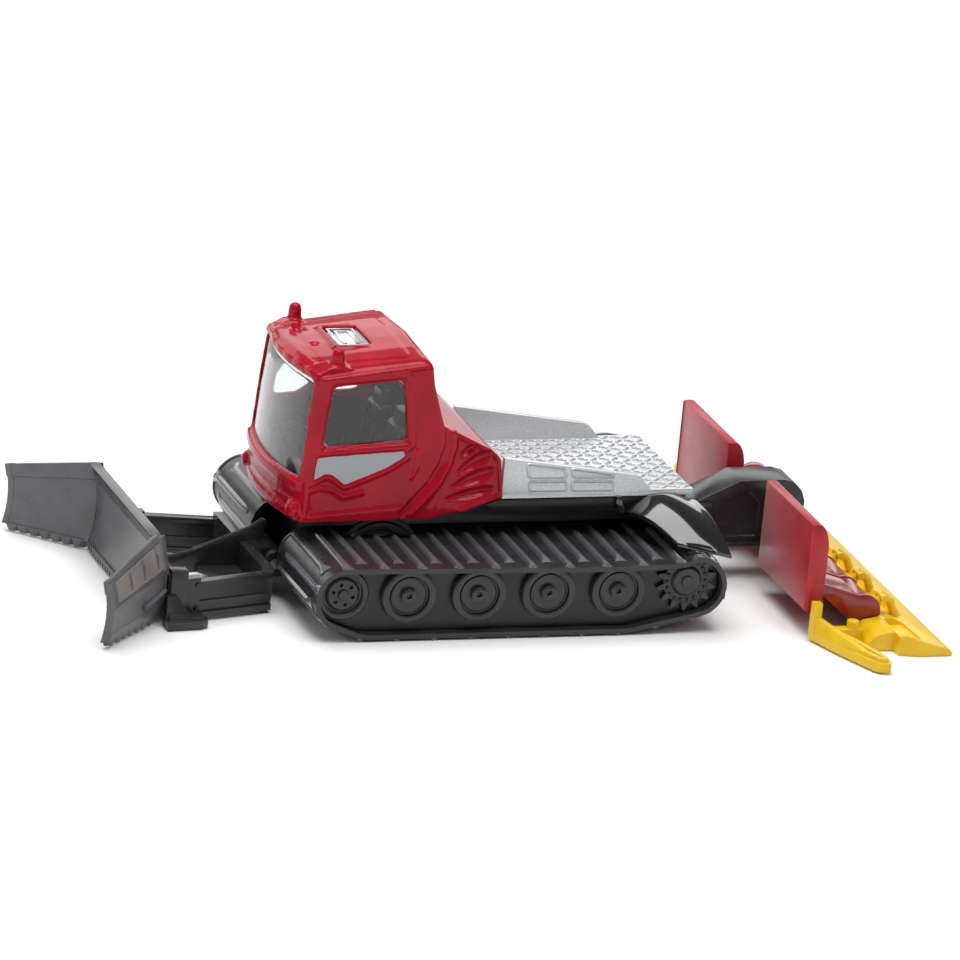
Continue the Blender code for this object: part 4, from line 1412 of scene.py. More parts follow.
    def interior(self) -> None:
        """Make the two seats, and the dashboard with its console."""
        for side in SIDES:
            y = side * 4.2
            back_path = [(12.9, 15.6), (12.4, 18.0), (11.7, 21.0), (11.2, 23.0)]
            low, high = y - 2.6, y + 2.6
            seat = Solid("moulded_seat_" + side_name(side), block((12.4, low, 14.15), (17.7, high, 16.5)))
            rest = [(12.0, 15.8), (13.7, 16.2), (12.7, 22.6), (11.9, 23.2), (11.1, 23.1)]
            seat.add(plate("rest", rest, Plane.SIDE, low, high))
            head = [(11.0, 23.0), (12.4, 22.9), (12.3, 25.0), (11.2, 25.1)]
            seat.add(plate("head", head, Plane.SIDE, y - 1.5, y + 1.5))
            for roll_y in (low + 0.5, high - 0.5):
                roll = [(px + 0.5, roll_y, pz) for px, pz in back_path]
                seat.add(Solid("roll", tube(roll, 0.55, 10)))
            seat.bevel(0.3, 3, 25).finish(
                "chassis", "black_plastic", SEAT_PLASTIC, ["seat_" + side_name(side)], 40
            )
        dash = [(20.6, 14.1), (22.9, 14.1), (24.0, 17.6), (23.6, 18.6), (21.6, 19.4), (20.7, 18.6)]
        board = plate("moulded_dashboard", dash, Plane.SIDE, -8.6, 8.6)
        for y in (-5.2, -2.6, 0.0):
            board.add(Solid("dial", rod((21.2, y, 18.7), (20.9, y, 19.35), 0.55, 16)))
        console = [(17.8, 14.1), (21.2, 14.1), (21.2, 18.2), (18.6, 17.0)]
        board.add(plate("console", console, Plane.SIDE, -1.1, 1.1))
        hood = [(21.0, 18.4), (23.8, 18.2), (22.9, 20.3), (21.6, 20.4)]
        board.add(plate("hood", hood, Plane.SIDE, 2.2, 6.2))
        board.bevel(0.2, 2, 25).finish("chassis", "black_plastic", SEAT_PLASTIC, ["dashboard"], 40)

    def steering(self) -> None:
        """Make the steering wheel with its spokes and column, before the left seat."""
        hub = Vector((19.6, 4.2, 19.3))
        axis = Vector((-0.55, 0, 0.83)).normalized()
        one = axis.cross(Vector((0, 1, 0))).normalized()
        two = Vector((0, 1, 0))
        turns = [2 * math.pi * k / 28 for k in range(28)]
        ways = [one * math.cos(turn) + two * math.sin(turn) for turn in turns]
        wheel = Solid(
            "moulded_steering_wheel", hoop([(hub + way * 1.4, way) for way in ways], axis, 0.2, 0.2)
        )
        for k in range(3):
            turn = 2 * math.pi * (k + 0.25) / 3
            tip = hub + (one * math.cos(turn) + two * math.sin(turn)) * 1.35
            wheel.merge(Solid("spoke", tube([tuple(hub), tuple(tip)], 0.17, 8)))
        wheel.merge(Solid("column", rod(tuple(hub + axis * 0.12), (20.6, 4.2, 17.7), 0.33, 14)))
        wheel.finish("chassis", "black_plastic", CHASSIS_PLASTIC, ["steering_wheel"], 40)

    def liner(self) -> None:
        """Make the black tub that lines the doors and the rear wall up to the windows."""
        tub = Solid("cabin_liner", block((8.95, -9.9, 14.05), (24.6, 9.9, 21.9)))
        tub.add(Solid("rear", block((8.95, -9.6, 14.05), (9.6, 9.6, 24.9))))
        tub.take(Solid("inside", block((9.5, -9.35, 13.0), (26.0, 9.35, 30.0))))
        tub.keep(self.body("room", self.wall + 0.05, 13.9))
        tub.finish("chassis", "black_plastic", SEAT_PLASTIC)

    def build(self) -> None:
        """Make the cab."""
        self.casting()
        self.panels()
        self.glazing()
        self.interior()
        self.steering()
        self.liner()


# ---------------------------------------------------------------- bed and mudguards


@dataclass
class LoadBed:
    """The silver tray: a tread-plate floor between two cheeks with framed panels."""

    half: float = 10.5
    front: float = -0.5
    rear: float = -26.6
    bottom: float = 14.75
    floor: float = 15.5
    front_top: float = 20.2
    mid: Point2 = (-19.3, 17.45)
    slope_end: float = -20.8
    cheek: float = 1.0
    tread_pitch: float = 1.45

    def tray(self) -> Solid:
        """Return the tray with rounded cheek tops."""
        outline = [
            (self.rear, self.bottom), (self.front, self.bottom), (self.front, self.front_top),
            (self.mid[0] + 0.9, self.mid[1] + 0.14), (self.mid[0], self.mid[1] - 0.25),
            (self.slope_end, self.floor + 0.06), (self.rear, self.floor + 0.06),
        ]
        bed = plate("bed_casting", outline, Plane.SIDE, -self.half, self.half)
        inside = self.half - self.cheek
        hollow = [
            (-inside, self.floor), (-inside - 0.25, 30.0), (inside + 0.25, 30.0), (inside, self.floor)
        ]
        bed.take(plate("hollow", hollow, Plane.FRONT, self.rear - 1, self.front + 1))
        return bed

    def frames(self, side: int) -> list[Solid]:
        """Return the raised outlines of the four panels on a cheek."""
        made = []
        y = side * (self.half + 0.02)
        for panel in (
            ((-3.6, 19.4), (-8.7, 18.75), (-9.1, 17.55), (-4.0, 17.55)),
            ((-9.7, 18.6), (-15.3, 17.8), (-15.5, 17.4), (-10.0, 17.5)),
            ((-4.1, 17.0), (-9.1, 16.95), (-9.2, 15.75), (-4.2, 15.8)),
            ((-9.9, 16.9), (-15.5, 16.8), (-15.6, 15.65), (-10.0, 15.7)),
        ):
            loop = rounded(panel, 0.35)
            spots = []
            for i, (x, z) in enumerate(loop):
                way = (Vector(loop[(i + 1) % len(loop)]) - Vector(loop[i - 1])).normalized()
                spots.append((Vector((x, y, z)), Vector((way.y, 0, -way.x))))
            made.append(Solid("panel_frame", hoop(spots, Vector((0, 1, 0)), 0.2, 0.17)))
        return made

    def lozenge(self, x: float, y: float, turn: float) -> Shape:
        """Return one raised lozenge of the tread plate.

        Args:
            x: its place along the bed.
            y: its place across it.
            turn: how far it is turned, in radians.

        Returns:
            The closed shape.
        """
        rings = []
        for size, up in ((1.0, -0.1), (0.85, 0.13), (0.45, 0.26)):
            ring = []
            for k in range(10):
                a = 2 * math.pi * k / 10
                u, v = 0.74 * size * math.cos(a), 0.25 * size * math.sin(a)
                along = u * math.cos(turn) - v * math.sin(turn)
                ring.append((x + along, y + u * math.sin(turn) + v * math.cos(turn), self.floor + up))
            rings.append(ring)
        return loft(rings)

    def tread(self) -> Solid:
        """Return the lozenges, which lie alternately along and across."""
        shapes: list[Shape] = []
        rows = int((self.front - 1.2 - self.rear) / self.tread_pitch)
        for i in range(rows):
            x = self.rear + 0.75 + i * self.tread_pitch
            reach = self.half - 0.9 if x < self.slope_end else self.half - self.cheek - 0.75
            count = int(2 * reach / self.tread_pitch)
            for j in range(count + 1):
                y = -reach + 2 * reach * j / count
                turn = math.radians(28 if (i + j) % 2 else 152)
                shapes.append(self.lozenge(x, y, turn))
        return Solid("tread", *shapes)

    def build(self) -> None:
        """Make the bed."""
        bed = self.tray()
        bed.bevel(0.22, 3, 25)
        for side in SIDES:
            bed.merge(*self.frames(side))
            low, high = span(side, self.half - 1.0, self.half + 0.12)
            lip = [(self.front, self.bottom), (self.front, 15.25), (-18.0, 15.05), (-24.0, 15.3)]
            lip += [(self.rear, 15.2), (self.rear, self.bottom)]
            bed.merge(plate("lip", rounded(lip, 0.1), Plane.SIDE, low, high).bevel(0.08, 2))
        bed.merge(self.tread())
        bed.finish("chassis", "silver_paint", SILVER_PAINT, ["load_bed"], 30)


@dataclass
class Mudguard:
    """A polished curved guard from the bed's edge out to a point over the track's rear."""

    side: int
    thickness: float = 0.55

    def build(self) -> None:
        """Make the guard from its upper surface."""
        across, along = 14, 14
        top: list[list[Vector]] = []
        for i in range(across + 1):
            s = i / across
            row = []
            for j in range(along + 1):
                t = j / along
                front = Vector((-17.1 - 4.6 * s**1.1, 10.85 + 8.6 * s, 13.0 - 1.5 * s))
                rear = Vector((-26.4 - 2.1 * s**0.8, 10.85 + 10.55 * s, 14.5 - 4.1 * s**1.2))
                spot = front.lerp(rear, t)
                spot.z += 1.5 * math.sin(math.pi * min(1.0, t * 1.05)) * (1 - s) ** 0.7
                spot.z += 0.9 * math.sin(math.pi * s) * (1 - 0.35 * t)
                row.append(spot)
            top.append(row)
        shape = bmesh.new()
        grid = {}
        for level in (0, 1):
            for i in range(across + 1):
                for j in range(along + 1):
                    spot = top[i][j] - Vector((0.12, -0.2, 1.0)).normalized() * self.thickness * level
                    grid[level, i, j] = shape.verts.new((spot.x, self.side * spot.y, spot.z))
        for i in range(across):
            for j in range(along):
                for level in (0, 1):
                    shape.faces.new(
                        [grid[level, i + a, j + b] for a, b in ((0, 0), (1, 0), (1, 1), (0, 1))]
                    )
        border = [(i, 0) for i in range(across)] + [(across, j) for j in range(along)]
        border += [(i, along) for i in range(across, 0, -1)] + [(0, j) for j in range(along, 0, -1)]
        for (a, b), (c, d) in zip(border, border[1:] + border[:1]):
            shape.faces.new((grid[0, a, b], grid[0, c, d], grid[1, c, d], grid[1, a, b]))
        name = side_name(self.side)
        guard = Solid("polished_guard_" + name, shape)
        web = [(-16.0, 14.9), (-16.6, 14.9), (-17.5, 12.6), (-16.7, 12.7), (-15.9, 14.0)]
        low, high = span(self.side, 10.55, 11.3)
        guard.merge(plate("web", web, Plane.SIDE, low, high))
        guard.bevel(0.1, 2, 50).finish("chassis", "gloss_black", GLOSS_BLACK, ["mudguard_" + name], 40)


# ---------------------------------------------------------------- blade


@dataclass
class Blade:
    """The winged dozer blade: two swept wings on a centre section, all moulded in grey."""

    x: float = 45.6
    half: float = 13.5
    height: float = 12.2
    bottom: float = 0.4
    wing_span: float = 8.7
    sweep: float = 9.212
    tip_size: float = 0.74
    lift: float = 0.07

    def spot(self, y: float, ahead: float, share: float) -> Point3:
        """Return the place of a point of the section, given in shares of the centre's height.

        Args:
            y: distance from the middle, with its sign.
            ahead: how far ahead of the blade's line.
            share: share of the height.

        Returns:
            The point.
        """
        out = max(0.0, (abs(y) - self.half) / self.wing_span)
        size = 1 + (self.tip_size - 1) * out
        return (
            self.x + self.sweep * out + ahead * size,
            y,
            self.bottom + (self.height - self.bottom) * share * size,
        )

    def face(self, share: float) -> float:
        """Return how far ahead the front face lies at a share of the height."""
        low = ((0.0, 1.05), (0.1, 0.68), (0.21, 0.42), (0.32, 0.22), (0.42, 0.12), (0.56, 0.1))
        high = ((0.68, 0.2), (0.78, 0.38), (0.9, 0.75), (1.0, 1.15))
        return between(low + high, share)

    def section(self, y: float, wing: bool, swell: float = 0.0) -> list[Point3]:
        """Return the section at a distance from the middle, swollen for the end rims.

        Args:
            y: distance from the middle, with its sign.
            wing: whether it is a wing's section.
            swell: how far it stands out all round.

        Returns:
            The section's points.
        """
        front: list[Point2] = []
        for share in (self.lift, 0.12, 0.2, 0.28, 0.36, 0.44, 0.52, 0.6, 0.68, 0.76):
            front.append((self.face(share) + swell, share))
        front += [(self.face(0.79) + swell, 0.79), (self.face(0.805) + 0.14 + swell, 0.805)]
        front += [(self.face(0.87) + 0.14 + swell, 0.87)]
        if not wing:
            front += [
                (self.face(share) + out, share) for share, out in ((0.95, 0.14), (0.962, 0.4), (0.98, 0.38))
            ]
        front += [(self.face(1.0) - 0.05 + swell, 0.992 + swell * 0.02)]
        if wing:
            back = [(self.face(1.0) - 0.75, 1.0 + swell * 0.02)]
            upper = ((0.96, 0.95, 1.0), (0.8, 0.8, 1.15), (0.62, 0.6, 1.3))
            back += [(self.face(at) - behind - swell, share) for at, share, behind in upper]
            lower = (
                (-1.32, 0.58), (-1.05, 0.555), (-1.0, 0.4), (-0.82, 0.22), (-0.95, 0.2), (-0.55, self.lift)
            )
            back += [(ahead - swell, share) for ahead, share in lower]
        else:
            upper = ((1.0, 1.0, 0.9), (0.9, 0.93, 1.2), (0.75, 0.75, 1.3))
            back = [(self.face(at) - behind, share) for at, share, behind in upper]
            back += [(-1.2, 0.56), (-1.2, 0.3), (-0.6, self.lift)]
        return [self.spot(y, ahead, share) for ahead, share in front + back]

    def cell(self, y0: float, y1: float, low: float, high: float, behind: float, ahead: float) -> Shape:
        """Return a small block between two distances from the middle and two shares of the height.

        Args:
            y0: where it starts.
            y1: where it ends.
            low: its lower share of the height.
            high: its upper share.
            behind: its back, ahead of the face.
            ahead: its front, ahead of the face.

        Returns:
            The closed shape.
        """
        rings = []
        for y in (y0, y1):
            ring = []
            for share, depth in ((low, behind), (low, ahead), (high, ahead), (high, behind)):
                ring.append(self.spot(y, depth + self.face(share), share))
            rings.append(ring)
        return loft(rings)

    def tooth(self, y0: float, y1: float, tip: float) -> Shape:
        """Return one pointed tooth under the lower edge.

        Args:
            y0: where its root starts.
            y1: where its root ends.
            tip: the tip's share of the height.

        Returns:
            The closed shape.
        """
        middle, root = (y0 + y1) / 2, self.lift + 0.02
        rings = []
        for ahead in (-0.45, 1.0):
            wide = [self.spot(y, ahead, root) for y in (y0, y1)]
            narrow = [self.spot(y * 0.35 + middle * 0.65, ahead * 0.8 + 0.15, tip) for y in (y1, y0)]
            rings.append(wide + narrow)
        return loft(rings)

    def centre(self) -> None:
        """Make the centre section: a top rim, a grille of lengthwise ribs and a serrated edge."""
        reach = self.half - 0.05
        ys = [-reach + 2 * reach * i / 6 for i in range(7)]
        blade = Solid("blade_centre_moulding", loft([self.section(y, False) for y in ys]))
        blade.bevel(0.06, 2, 40)
        details: list[Shape] = []
        for low in (0.815, 0.843, 0.871, 0.899, 0.927):
            details.append(self.cell(-reach + 0.4, reach - 0.4, low, low + 0.015, 0.05, 0.42))
        teeth = 26
        for i in range(teeth):
            y0 = -reach + 0.1 + (2 * reach - 0.2) * i / teeth
            y1 = -reach + 0.1 + (2 * reach - 0.2) * (i + 1) / teeth
            details.append(self.tooth(y0, y1, 0.005))
        details.append(self.cell(-reach, reach, 0.79, 0.80, -0.2, 0.2))
        blade.merge(Solid("trim", *details))
        blade.finish("blade_arm", "blade_grey", BLADE_PLASTIC, ["blade_centre"], 25)

    def slots(self, side: int, behind: float, ahead: float) -> list[Solid]:
        """Return the cutters of a wing's three upright slots.

        Args:
            side: 1 for the left wing and -1 for the right.
            behind: how far from the face, forward of it, they start.
            ahead: how far from the face, forward of it, they end.

        Returns:
            The three cutters, from the root outward.
        """
        root, tip = self.half + 0.05, self.half + self.wing_span
        made = []
        for share_out, low, high in ((0.16, 0.66, 0.93), (0.41, 0.65, 0.92), (0.66, 0.66, 0.9)):
            y = root + (tip - root) * share_out
            made.append(
                Solid("slot", self.cell(side * (y - 0.2), side * (y + 0.24), low, high, behind, ahead))
            )
        return made

    def wing(self, side: int) -> None:
        """Make one wing: a creased concave face, seven teeth, a rolled tip and a slotted back."""
        root, tip = self.half + 0.05, self.half + self.wing_span
        ys = [side * (root + (tip - root) * i / 6) for i in range(7)]
        name = side_name(side)
        wing = Solid("blade_wing_moulding_" + name, loft([self.section(y, True) for y in ys]))
        wing.take(*self.slots(side, -1.6, -0.75))
        wing.bevel(0.06, 2, 40)
        details: list[Shape] = []
        details.append(loft([self.section(side * y, True, 0.16) for y in (tip - 0.55, tip - 0.02)]))
        step = (tip - root - 0.9) / 7
        for i in range(7):
            y0 = root + 0.45 + i * step
            details.append(self.tooth(side * y0, side * (y0 + step), -0.015))
        details.append(self.cell(side * (root + 0.1), side * (tip - 0.3), 0.775, 0.795, -0.3, 0.16))
        details.append(self.cell(side * root, side * (root + 0.5), 0.6, 0.99, -1.5, -0.4))
        rod_path = [self.spot(side * (root + 0.2), -1.25, 0.36), self.spot(side * (root + 3.6), -1.2, 0.30)]
        details.append(tube(rod_path, 0.32, 10))
        wing.merge(Solid("trim", *details))
        wing.finish("blade_arm", "blade_grey", BLADE_PLASTIC, ["blade_wing_" + name], 25)
        corners = ((0.63, -1.42), (0.63, -1.2), (0.925, -1.0), (0.925, -1.16))
        rings = [
            [self.spot(y, self.face(share) + depth, share) for share, depth in corners]
            for y in (side * (root + 0.6), side * (tip - 0.75))
        ]
        panel = Solid("wing_back_panel_" + name, loft(rings))
        panel.take(*self.slots(side, -1.8, -0.5))
        panel.finish("blade_arm", "blade_grey", PANEL_PLASTIC, (), 25)

    def build(self) -> None:
        """Make the blade."""
        self.centre()
        for side in SIDES:
            self.wing(side)


@dataclass
class Carrier:
    """The push frame between the chassis and the blade, and its two feet."""

    pin: Point2 = (27.2, 4.6)
    rear: float = 29.3
    bar: float = 1.5
    rear_y: float = 9.3
    front_y: float = 12.6
    beam: float = 1.3
    low: float = 0.5
    high: float = 5.4
    pad_front: float = 44.25
    barrel: float = 1.7
    tongue_half: float = 3.74

    def beam_shape(
        self, side: int, low: float, high: float, out: float, into: float, start: float, end: float
    ) -> Shape:
        """Return a length of a beam or flange between two heights.

        Args:
            side: 1 for the left beam and -1 for the right.
            low: height of its lower face.
            high: height of its upper face.
            out: how far it stands out of the beam's outer face.
            into: how far it stands out of its inner face.
            start: share of the way along at which it starts.
            end: share of the way along at which it ends.

        Returns:
            The closed shape.
        """
        points = []
        for share, edge in ((start, -into), (start, self.beam + out), (end, self.beam + out), (end, -into)):
            x = self.rear + (self.pad_front - 0.5 - self.rear) * share
            y = self.rear_y + (self.front_y - self.rear_y) * share + edge
            points.append((x, side * y))
        return prism(points, Plane.TOP, low, high)

    def build(self) -> None:
        """Make the carrier."""
        x, z = self.pin
        half = self.rear_y + self.beam
        first, last = (self.rear, -half, self.low + 1.6), (self.rear + self.bar, half, self.high + 0.7)
        frame_solid = Solid("carrier_moulding", block(first, last))
        for side in SIDES:
            parts = [
                Solid("web", self.beam_shape(side, self.low, self.high, -0.3, -0.3, 0.0, 1.0)),
                Solid("top", self.beam_shape(side, self.high - 0.7, self.high, 0.0, 0.0, 0.0, 1.0)),
                Solid("step", self.beam_shape(side, self.low, self.high + 0.55, 0.0, 0.0, 0.72, 1.0)),
                Solid("foot", self.beam_shape(side, self.low, self.low + 0.75, 0.12, 0.0, 0.0, 1.0)),
                Solid("rib", self.beam_shape(side, 2.3, 2.75, -0.05, -0.1, 0.0, 0.95)),
            ]
            frame_solid.add(*parts)
            post_y = self.front_y + 0.3
            low, high = span(side, post_y - 0.4, post_y + 1.6)
            post = Solid(
                "post",
                block(
                    (self.pad_front - 2.4, low, self.low + 0.2),
                    (self.pad_front - 0.1, high, self.high + 2.1),
                ),
            )
            frame_solid.add(post.bevel(0.3, 2))
            for share, height in ((0.74, 4.9), (0.74, 1.8)):
                bx = self.rear + (self.pad_front - 0.5 - self.rear) * share
                by = self.rear_y + (self.front_y - self.rear_y) * share
                bolt = rod(
                    (bx, side * (by - 0.35), height), (bx, side * (by + self.beam + 0.3), height), 0.38, 12
                )
                frame_solid.add(Solid("bolt", bolt))
        pad_half = self.front_y + self.beam
        pad = Solid(
            "pad",
            block(
                (self.pad_front - 1.4, -pad_half, self.low + 0.2),
                (self.pad_front, pad_half, self.high + 1.2),
            ),
        )
        frame_solid.add(pad)
        gusset = [
            (self.rear - 0.4, self.low + 1.8), (self.pad_front - 0.4, self.low + 1.2),
            (self.pad_front - 0.4, self.low + 2.6), (self.rear + 8.0, z - 0.1), (self.rear + 7.4, z + 0.5),
            (self.rear + 0.2, z + 2.9), (self.rear - 0.6, z + 3.1), (self.rear - 1.7, z + 4.3),
            (self.rear - 2.1, z + 4.1), (self.rear - 1.4, z + 1.2),
        ]
        web = plate("gusset", gusset, Plane.SIDE, -0.45, 0.45)
        crest = [(self.pad_front - 0.8, self.low + 2.6), (self.rear + 7.9, z)]
        crest += [(self.rear + 0.1, z + 2.95), (self.rear - 1.7, z + 4.15)]
        ridge = tube([(u, 0, w) for u, w in crest], 0.42, 8)
        wide, narrow = self.rear + 0.5, self.rear + 7.0
        floor_plate = [(wide, -half + 1), (wide, half - 1), (narrow, 1.0), (narrow, -1.0)]
        tongue = [
            (self.rear + 0.4, z + self.barrel)
        ] + arc((x, z), self.barrel, 90, 270, 18) + [(self.rear + 0.4, z - self.barrel)]
        frame_solid.join(
            Joining.ADD,
            web,
            Solid("ridge", ridge),
            plate("plate", floor_plate, Plane.TOP, self.low + 1.7, self.low + 2.4),
            plate("tongue", tongue, Plane.SIDE, -self.tongue_half, self.tongue_half),
        )
        bore = rod((x, -6, z), (x, 6, z), BORE_RADIUS, 28)
        frame_solid.take(Solid("bore", bore))
        frame_solid.bevel(0.12, 2, 35).finish(
            "blade_arm", "black_plastic", CARRIER_PLASTIC, ["blade_carrier"], 35
        )
        for side in SIDES:
            self.foot(side)

    def foot(self, side: int) -> None:
        """Make the wedge-shaped foot behind one corner of the blade."""
        rear, front, inner = 39.0, 44.7, self.front_y + self.beam + 0.1
        outline = [(front, inner), (front, inner + 2.4), (rear + 1.2, inner + 2.1)]
        outline += [(rear + 0.1, inner + 1.4), (rear, inner + 0.7), (rear + 0.7, inner)]
        name = side_name(side)
        foot = plate("foot_moulding_" + name, mirrored(outline, side), Plane.TOP, 0.05, 1.25)
        tail = rear + 1
        top = [(u - 0.35 if u > tail else u + 0.7, inner + (v - inner) * 0.75 + 0.15) for u, v in outline]
        foot.add(plate("upper", mirrored(top, side), Plane.TOP, 1.0, 1.75))
        ridge = [(front - 0.1, 1.2), (front - 0.1, 4.3), (front - 1.3, 4.3), (rear + 2.2, 1.5)]
        low, high = span(side, inner + 0.06, inner + 0.95)
        foot.add(plate("ridge", ridge, Plane.SIDE, low, high))
        foot.bevel(0.15, 2, 30).finish("blade_arm", "black_plastic", CARRIER_PLASTIC, ["skid_" + name], 35)


# ---------------------------------------------------------------- tiller


@dataclass
class Tiller:
    """The boom, the two red hoods, the drum housing, the comb and the side finishers."""

    pin: Point2 = (-29.0, 8.6)
    barrel: float = 1.7
    arm_half: float = 3.74
    boom_half: float = 2.7
    arm_tail: float = -45.4
    arm_top: float = 13.6
    arm_bottom: float = 4.6
    hood_front: float = -38.0
    hood_depth: float = 2.5
    hood_top: float = 15.3
    hood_bottom: float = 3.5
    hood_inner: float = 7.1
    hood_outer: float = 24.5
    drum: Point2 = (-46.4, 3.1)
    drum_radius: float = 2.0
    drum_half: float = 24.0
    plate_top: float = 3.6
    comb_half: float = 32.5
    comb_tail: float = -55.7
    reach: float = 38.6

    def arm(self) -> None:
        """Make the boom with its chamfered top, the cross bar and the rounded tail block."""
        x, z = self.pin
        knuckle = x - self.barrel - 0.6
        behind = self.hood_front - self.hood_depth - 0.1
        over = self.drum[1] + self.plate_top + 0.1
        outline = arc((x, z), self.barrel, 90, -90, 16)
        outline += [
            (knuckle - 0.6, self.arm_bottom), (behind + 0.4, self.arm_bottom), (behind + 0.4, over),
            (self.arm_tail, over), (self.arm_tail - 0.05, self.arm_top - 2.9),
            (self.arm_tail + 0.5, self.arm_top - 1.5), (self.arm_tail + 1.6, self.arm_top - 0.4),
            (self.arm_tail + 3.0, self.arm_top), (self.arm_tail + 9.2, self.arm_top),
            (knuckle + 0.2, z + 2.6),
        ]
        arm = plate("boom_moulding", outline, Plane.SIDE, -self.boom_half, self.boom_half)
        knuckle_outline = arc((x, z), self.barrel, 90, -90, 16)
        knuckle_outline += [(knuckle - 1.4, self.arm_bottom + 0.8), (knuckle - 1.0, z + 2.2)]
        arm.add(plate("knuckle", knuckle_outline, Plane.SIDE, -self.arm_half, self.arm_half))
        for side in SIDES:
            groove = [(knuckle - 1.5, 6.0), (behind + 1.4, 6.0), (behind + 1.4, 10.6)]
            groove += [(self.arm_tail + 8.0, 12.2), (knuckle - 1.5, 9.6)]
            low, high = span(side, self.boom_half - 0.3, self.boom_half + 0.5)
            arm.take(plate("side", rounded(groove, 0.5), Plane.SIDE, low, high))
        bar = Solid(
            "bar", block((behind - 1.3, -self.hood_inner - 6, 7.6), (behind, self.hood_inner + 6, 10.6))
        )
        arm.add(bar)
        arm.take(Solid("bore", rod((x, -8, z), (x, 8, z), BORE_RADIUS, 28)))
        arm.bevel(0.35, 3, 30)
        for side in SIDES:
            y, foot = side * (self.boom_half - 0.2), self.arm_bottom + 0.25
            rim = [(knuckle - 1.0, y, foot), (behind + 0.9, y, foot)]
            arm.merge(Solid("rim", tube(rim, 0.4, 10)))
        arm.finish("tiller", "blade_grey", CARRIER_PLASTIC, ["tiller_arm"], 35)

    def hood(self, side: int) -> None:
        """Make one hood: flat in front, rounded over behind to a narrow top."""
        back = self.hood_front - self.hood_depth
        outline = [(self.hood_front - 0.45, self.hood_bottom), (self.hood_front, self.hood_bottom + 0.2)]
        outline.append((self.hood_front, self.hood_top))
        for i in range(13):
            turn = math.radians(90 * i / 12)
            outline.append((back + 1.55 * (1 - math.sin(turn)), self.hood_top - 3.4 * (1 - math.cos(turn))))
        outline.append((back, self.hood_bottom))
        low, high = span(side, self.hood_inner, self.hood_outer)
        hood = plate("hood_moulding_" + side_name(side), outline, Plane.SIDE, low, high)
        hood.bevel(0.16, 2, 35)
        x, y = self.hood_front - 0.02, side * (self.hood_outer - 0.12)
        edge = [(x, y, self.hood_bottom + 0.2), (x, y, self.hood_top - 0.2)]
        hood.merge(Solid("edge", tube(edge, 0.14, 8)))
        hood.finish("tiller", "red_plastic", RED_PLASTIC, ["tiller_hood_" + side_name(side)], 25)

    def drum_cover(self) -> None:
        """Make the drum's cover with its sloping plate and a rolled flange at each end."""
        x, z = self.drum
        fore = self.hood_front - self.hood_depth - 0.1
        outline = arc((x, z), self.drum_radius, 75, 300, 30)
        outline += [(fore, z + self.plate_top - 1.2), (fore, z + self.plate_top)]
        cover = plate("drum_cover", outline, Plane.SIDE, -self.drum_half, self.drum_half)
        for side in SIDES:
            low, high = span(side, self.drum_half - 0.5, self.drum_half - 0.02)
            flange = arc((x, z), self.drum_radius + 0.35, 75, 200, 20) + [(x - 1.0, z - 1.0), (x, z)]
            flange += [(fore, z + self.plate_top - 0.9), (fore, z + self.plate_top + 0.35)]
            cover.add(plate("flange", flange, Plane.SIDE, low, high))
            for y in (8.0, 16.0):
                low, high = span(side, y, y + 0.5)
                rib = arc((x, z), self.drum_radius + 0.18, 75, 190, 16)
                rib += [(x, z), (fore, z + self.plate_top - 0.9), (fore, z + self.plate_top + 0.18)]
                cover.add(plate("rib", rib, Plane.SIDE, low, high))
        cover.bevel(0.1, 2, 40).finish("tiller", "red_plastic", DRUM_PLASTIC, ["drum_housing"], 25)

    def comb(self) -> None:
        """Make the finishing comb: a flap, a cross strip, six hooks and dished ends."""
        x, z = self.drum
        root = x - self.drum_radius - 0.1
        blade = [
            (root, z - 0.5), (root - 1.0, z - 0.4), (root - 1.9, z - 0.6), (root - 2.6, z - 0.9),
            (self.comb_tail + 0.4, 0.95), (self.comb_tail, 0.55), (self.comb_tail, 0.05), (root, 0.05),
        ]
        comb = plate("comb_moulding", blade, Plane.SIDE, -self.comb_half, self.comb_half)
        strip = [(root - 1.9, z - 0.7), (root - 2.3, z + 0.1), (root - 3.1, z - 0.1), (root - 3.9, z - 1.5)]
        comb.add(plate("strip", strip, Plane.SIDE, -self.drum_half + 1.5, self.drum_half - 1.5))
        for side in SIDES:
            end = [
                (root + 3.6, 0.1), (root + 3.6, 0.9), (root + 2.4, z - 0.9), (root - 0.2, z - 0.5),
                (root - 1.7, z - 0.9), (root - 1.6, 0.1),
            ]
            low, high = span(side, self.drum_half + 0.2, self.comb_half - 2.4)
            comb.add(plate("end", rounded(end, 0.5), Plane.SIDE, low, high))
            past = self.comb_half + 3
            cut = [(root + 4, self.comb_half), (root - 0.4, self.comb_half - 0.6)]
            cut += [(root - 2.8, self.comb_half), (root - 2.8, past), (root + 4, past)]
            comb.take(plate("cut", mirrored(cut, side), Plane.TOP, -1, 6))
            dish = [
                (root - 0.2, 25.2), (root - 0.2, 29.3), (root - 2.4, 31.6), (root - 3.2, 31.6),
                (root - 2.8, 25.2),
            ]
            comb.take(plate("dish", rounded(mirrored(dish, side), 0.6), Plane.TOP, 1.75, 6))
        comb.bevel(0.14, 2, 30)
        for y in (-23.4, -15.0, -7.5, 7.5, 15.0, 23.4):
            curve = ((0.3, -1.0), (0.1, 1.2), (-0.6, 2.1), (-1.7, 1.2), (-2.6, -0.9))
            comb.merge(Solid("hook", tube([(root + u, y, z + w) for u, w in curve], 0.55, 10)))
            bar = [(root - 0.5, y - 1.1, z + 1.9), (root - 0.5, y + 1.1, z + 1.9)]
            comb.merge(Solid("hook_bar", tube(bar, 0.5, 10)))
        comb.finish("tiller", "yellow_plastic", YELLOW_PLASTIC, ["finishing_comb"], 30)

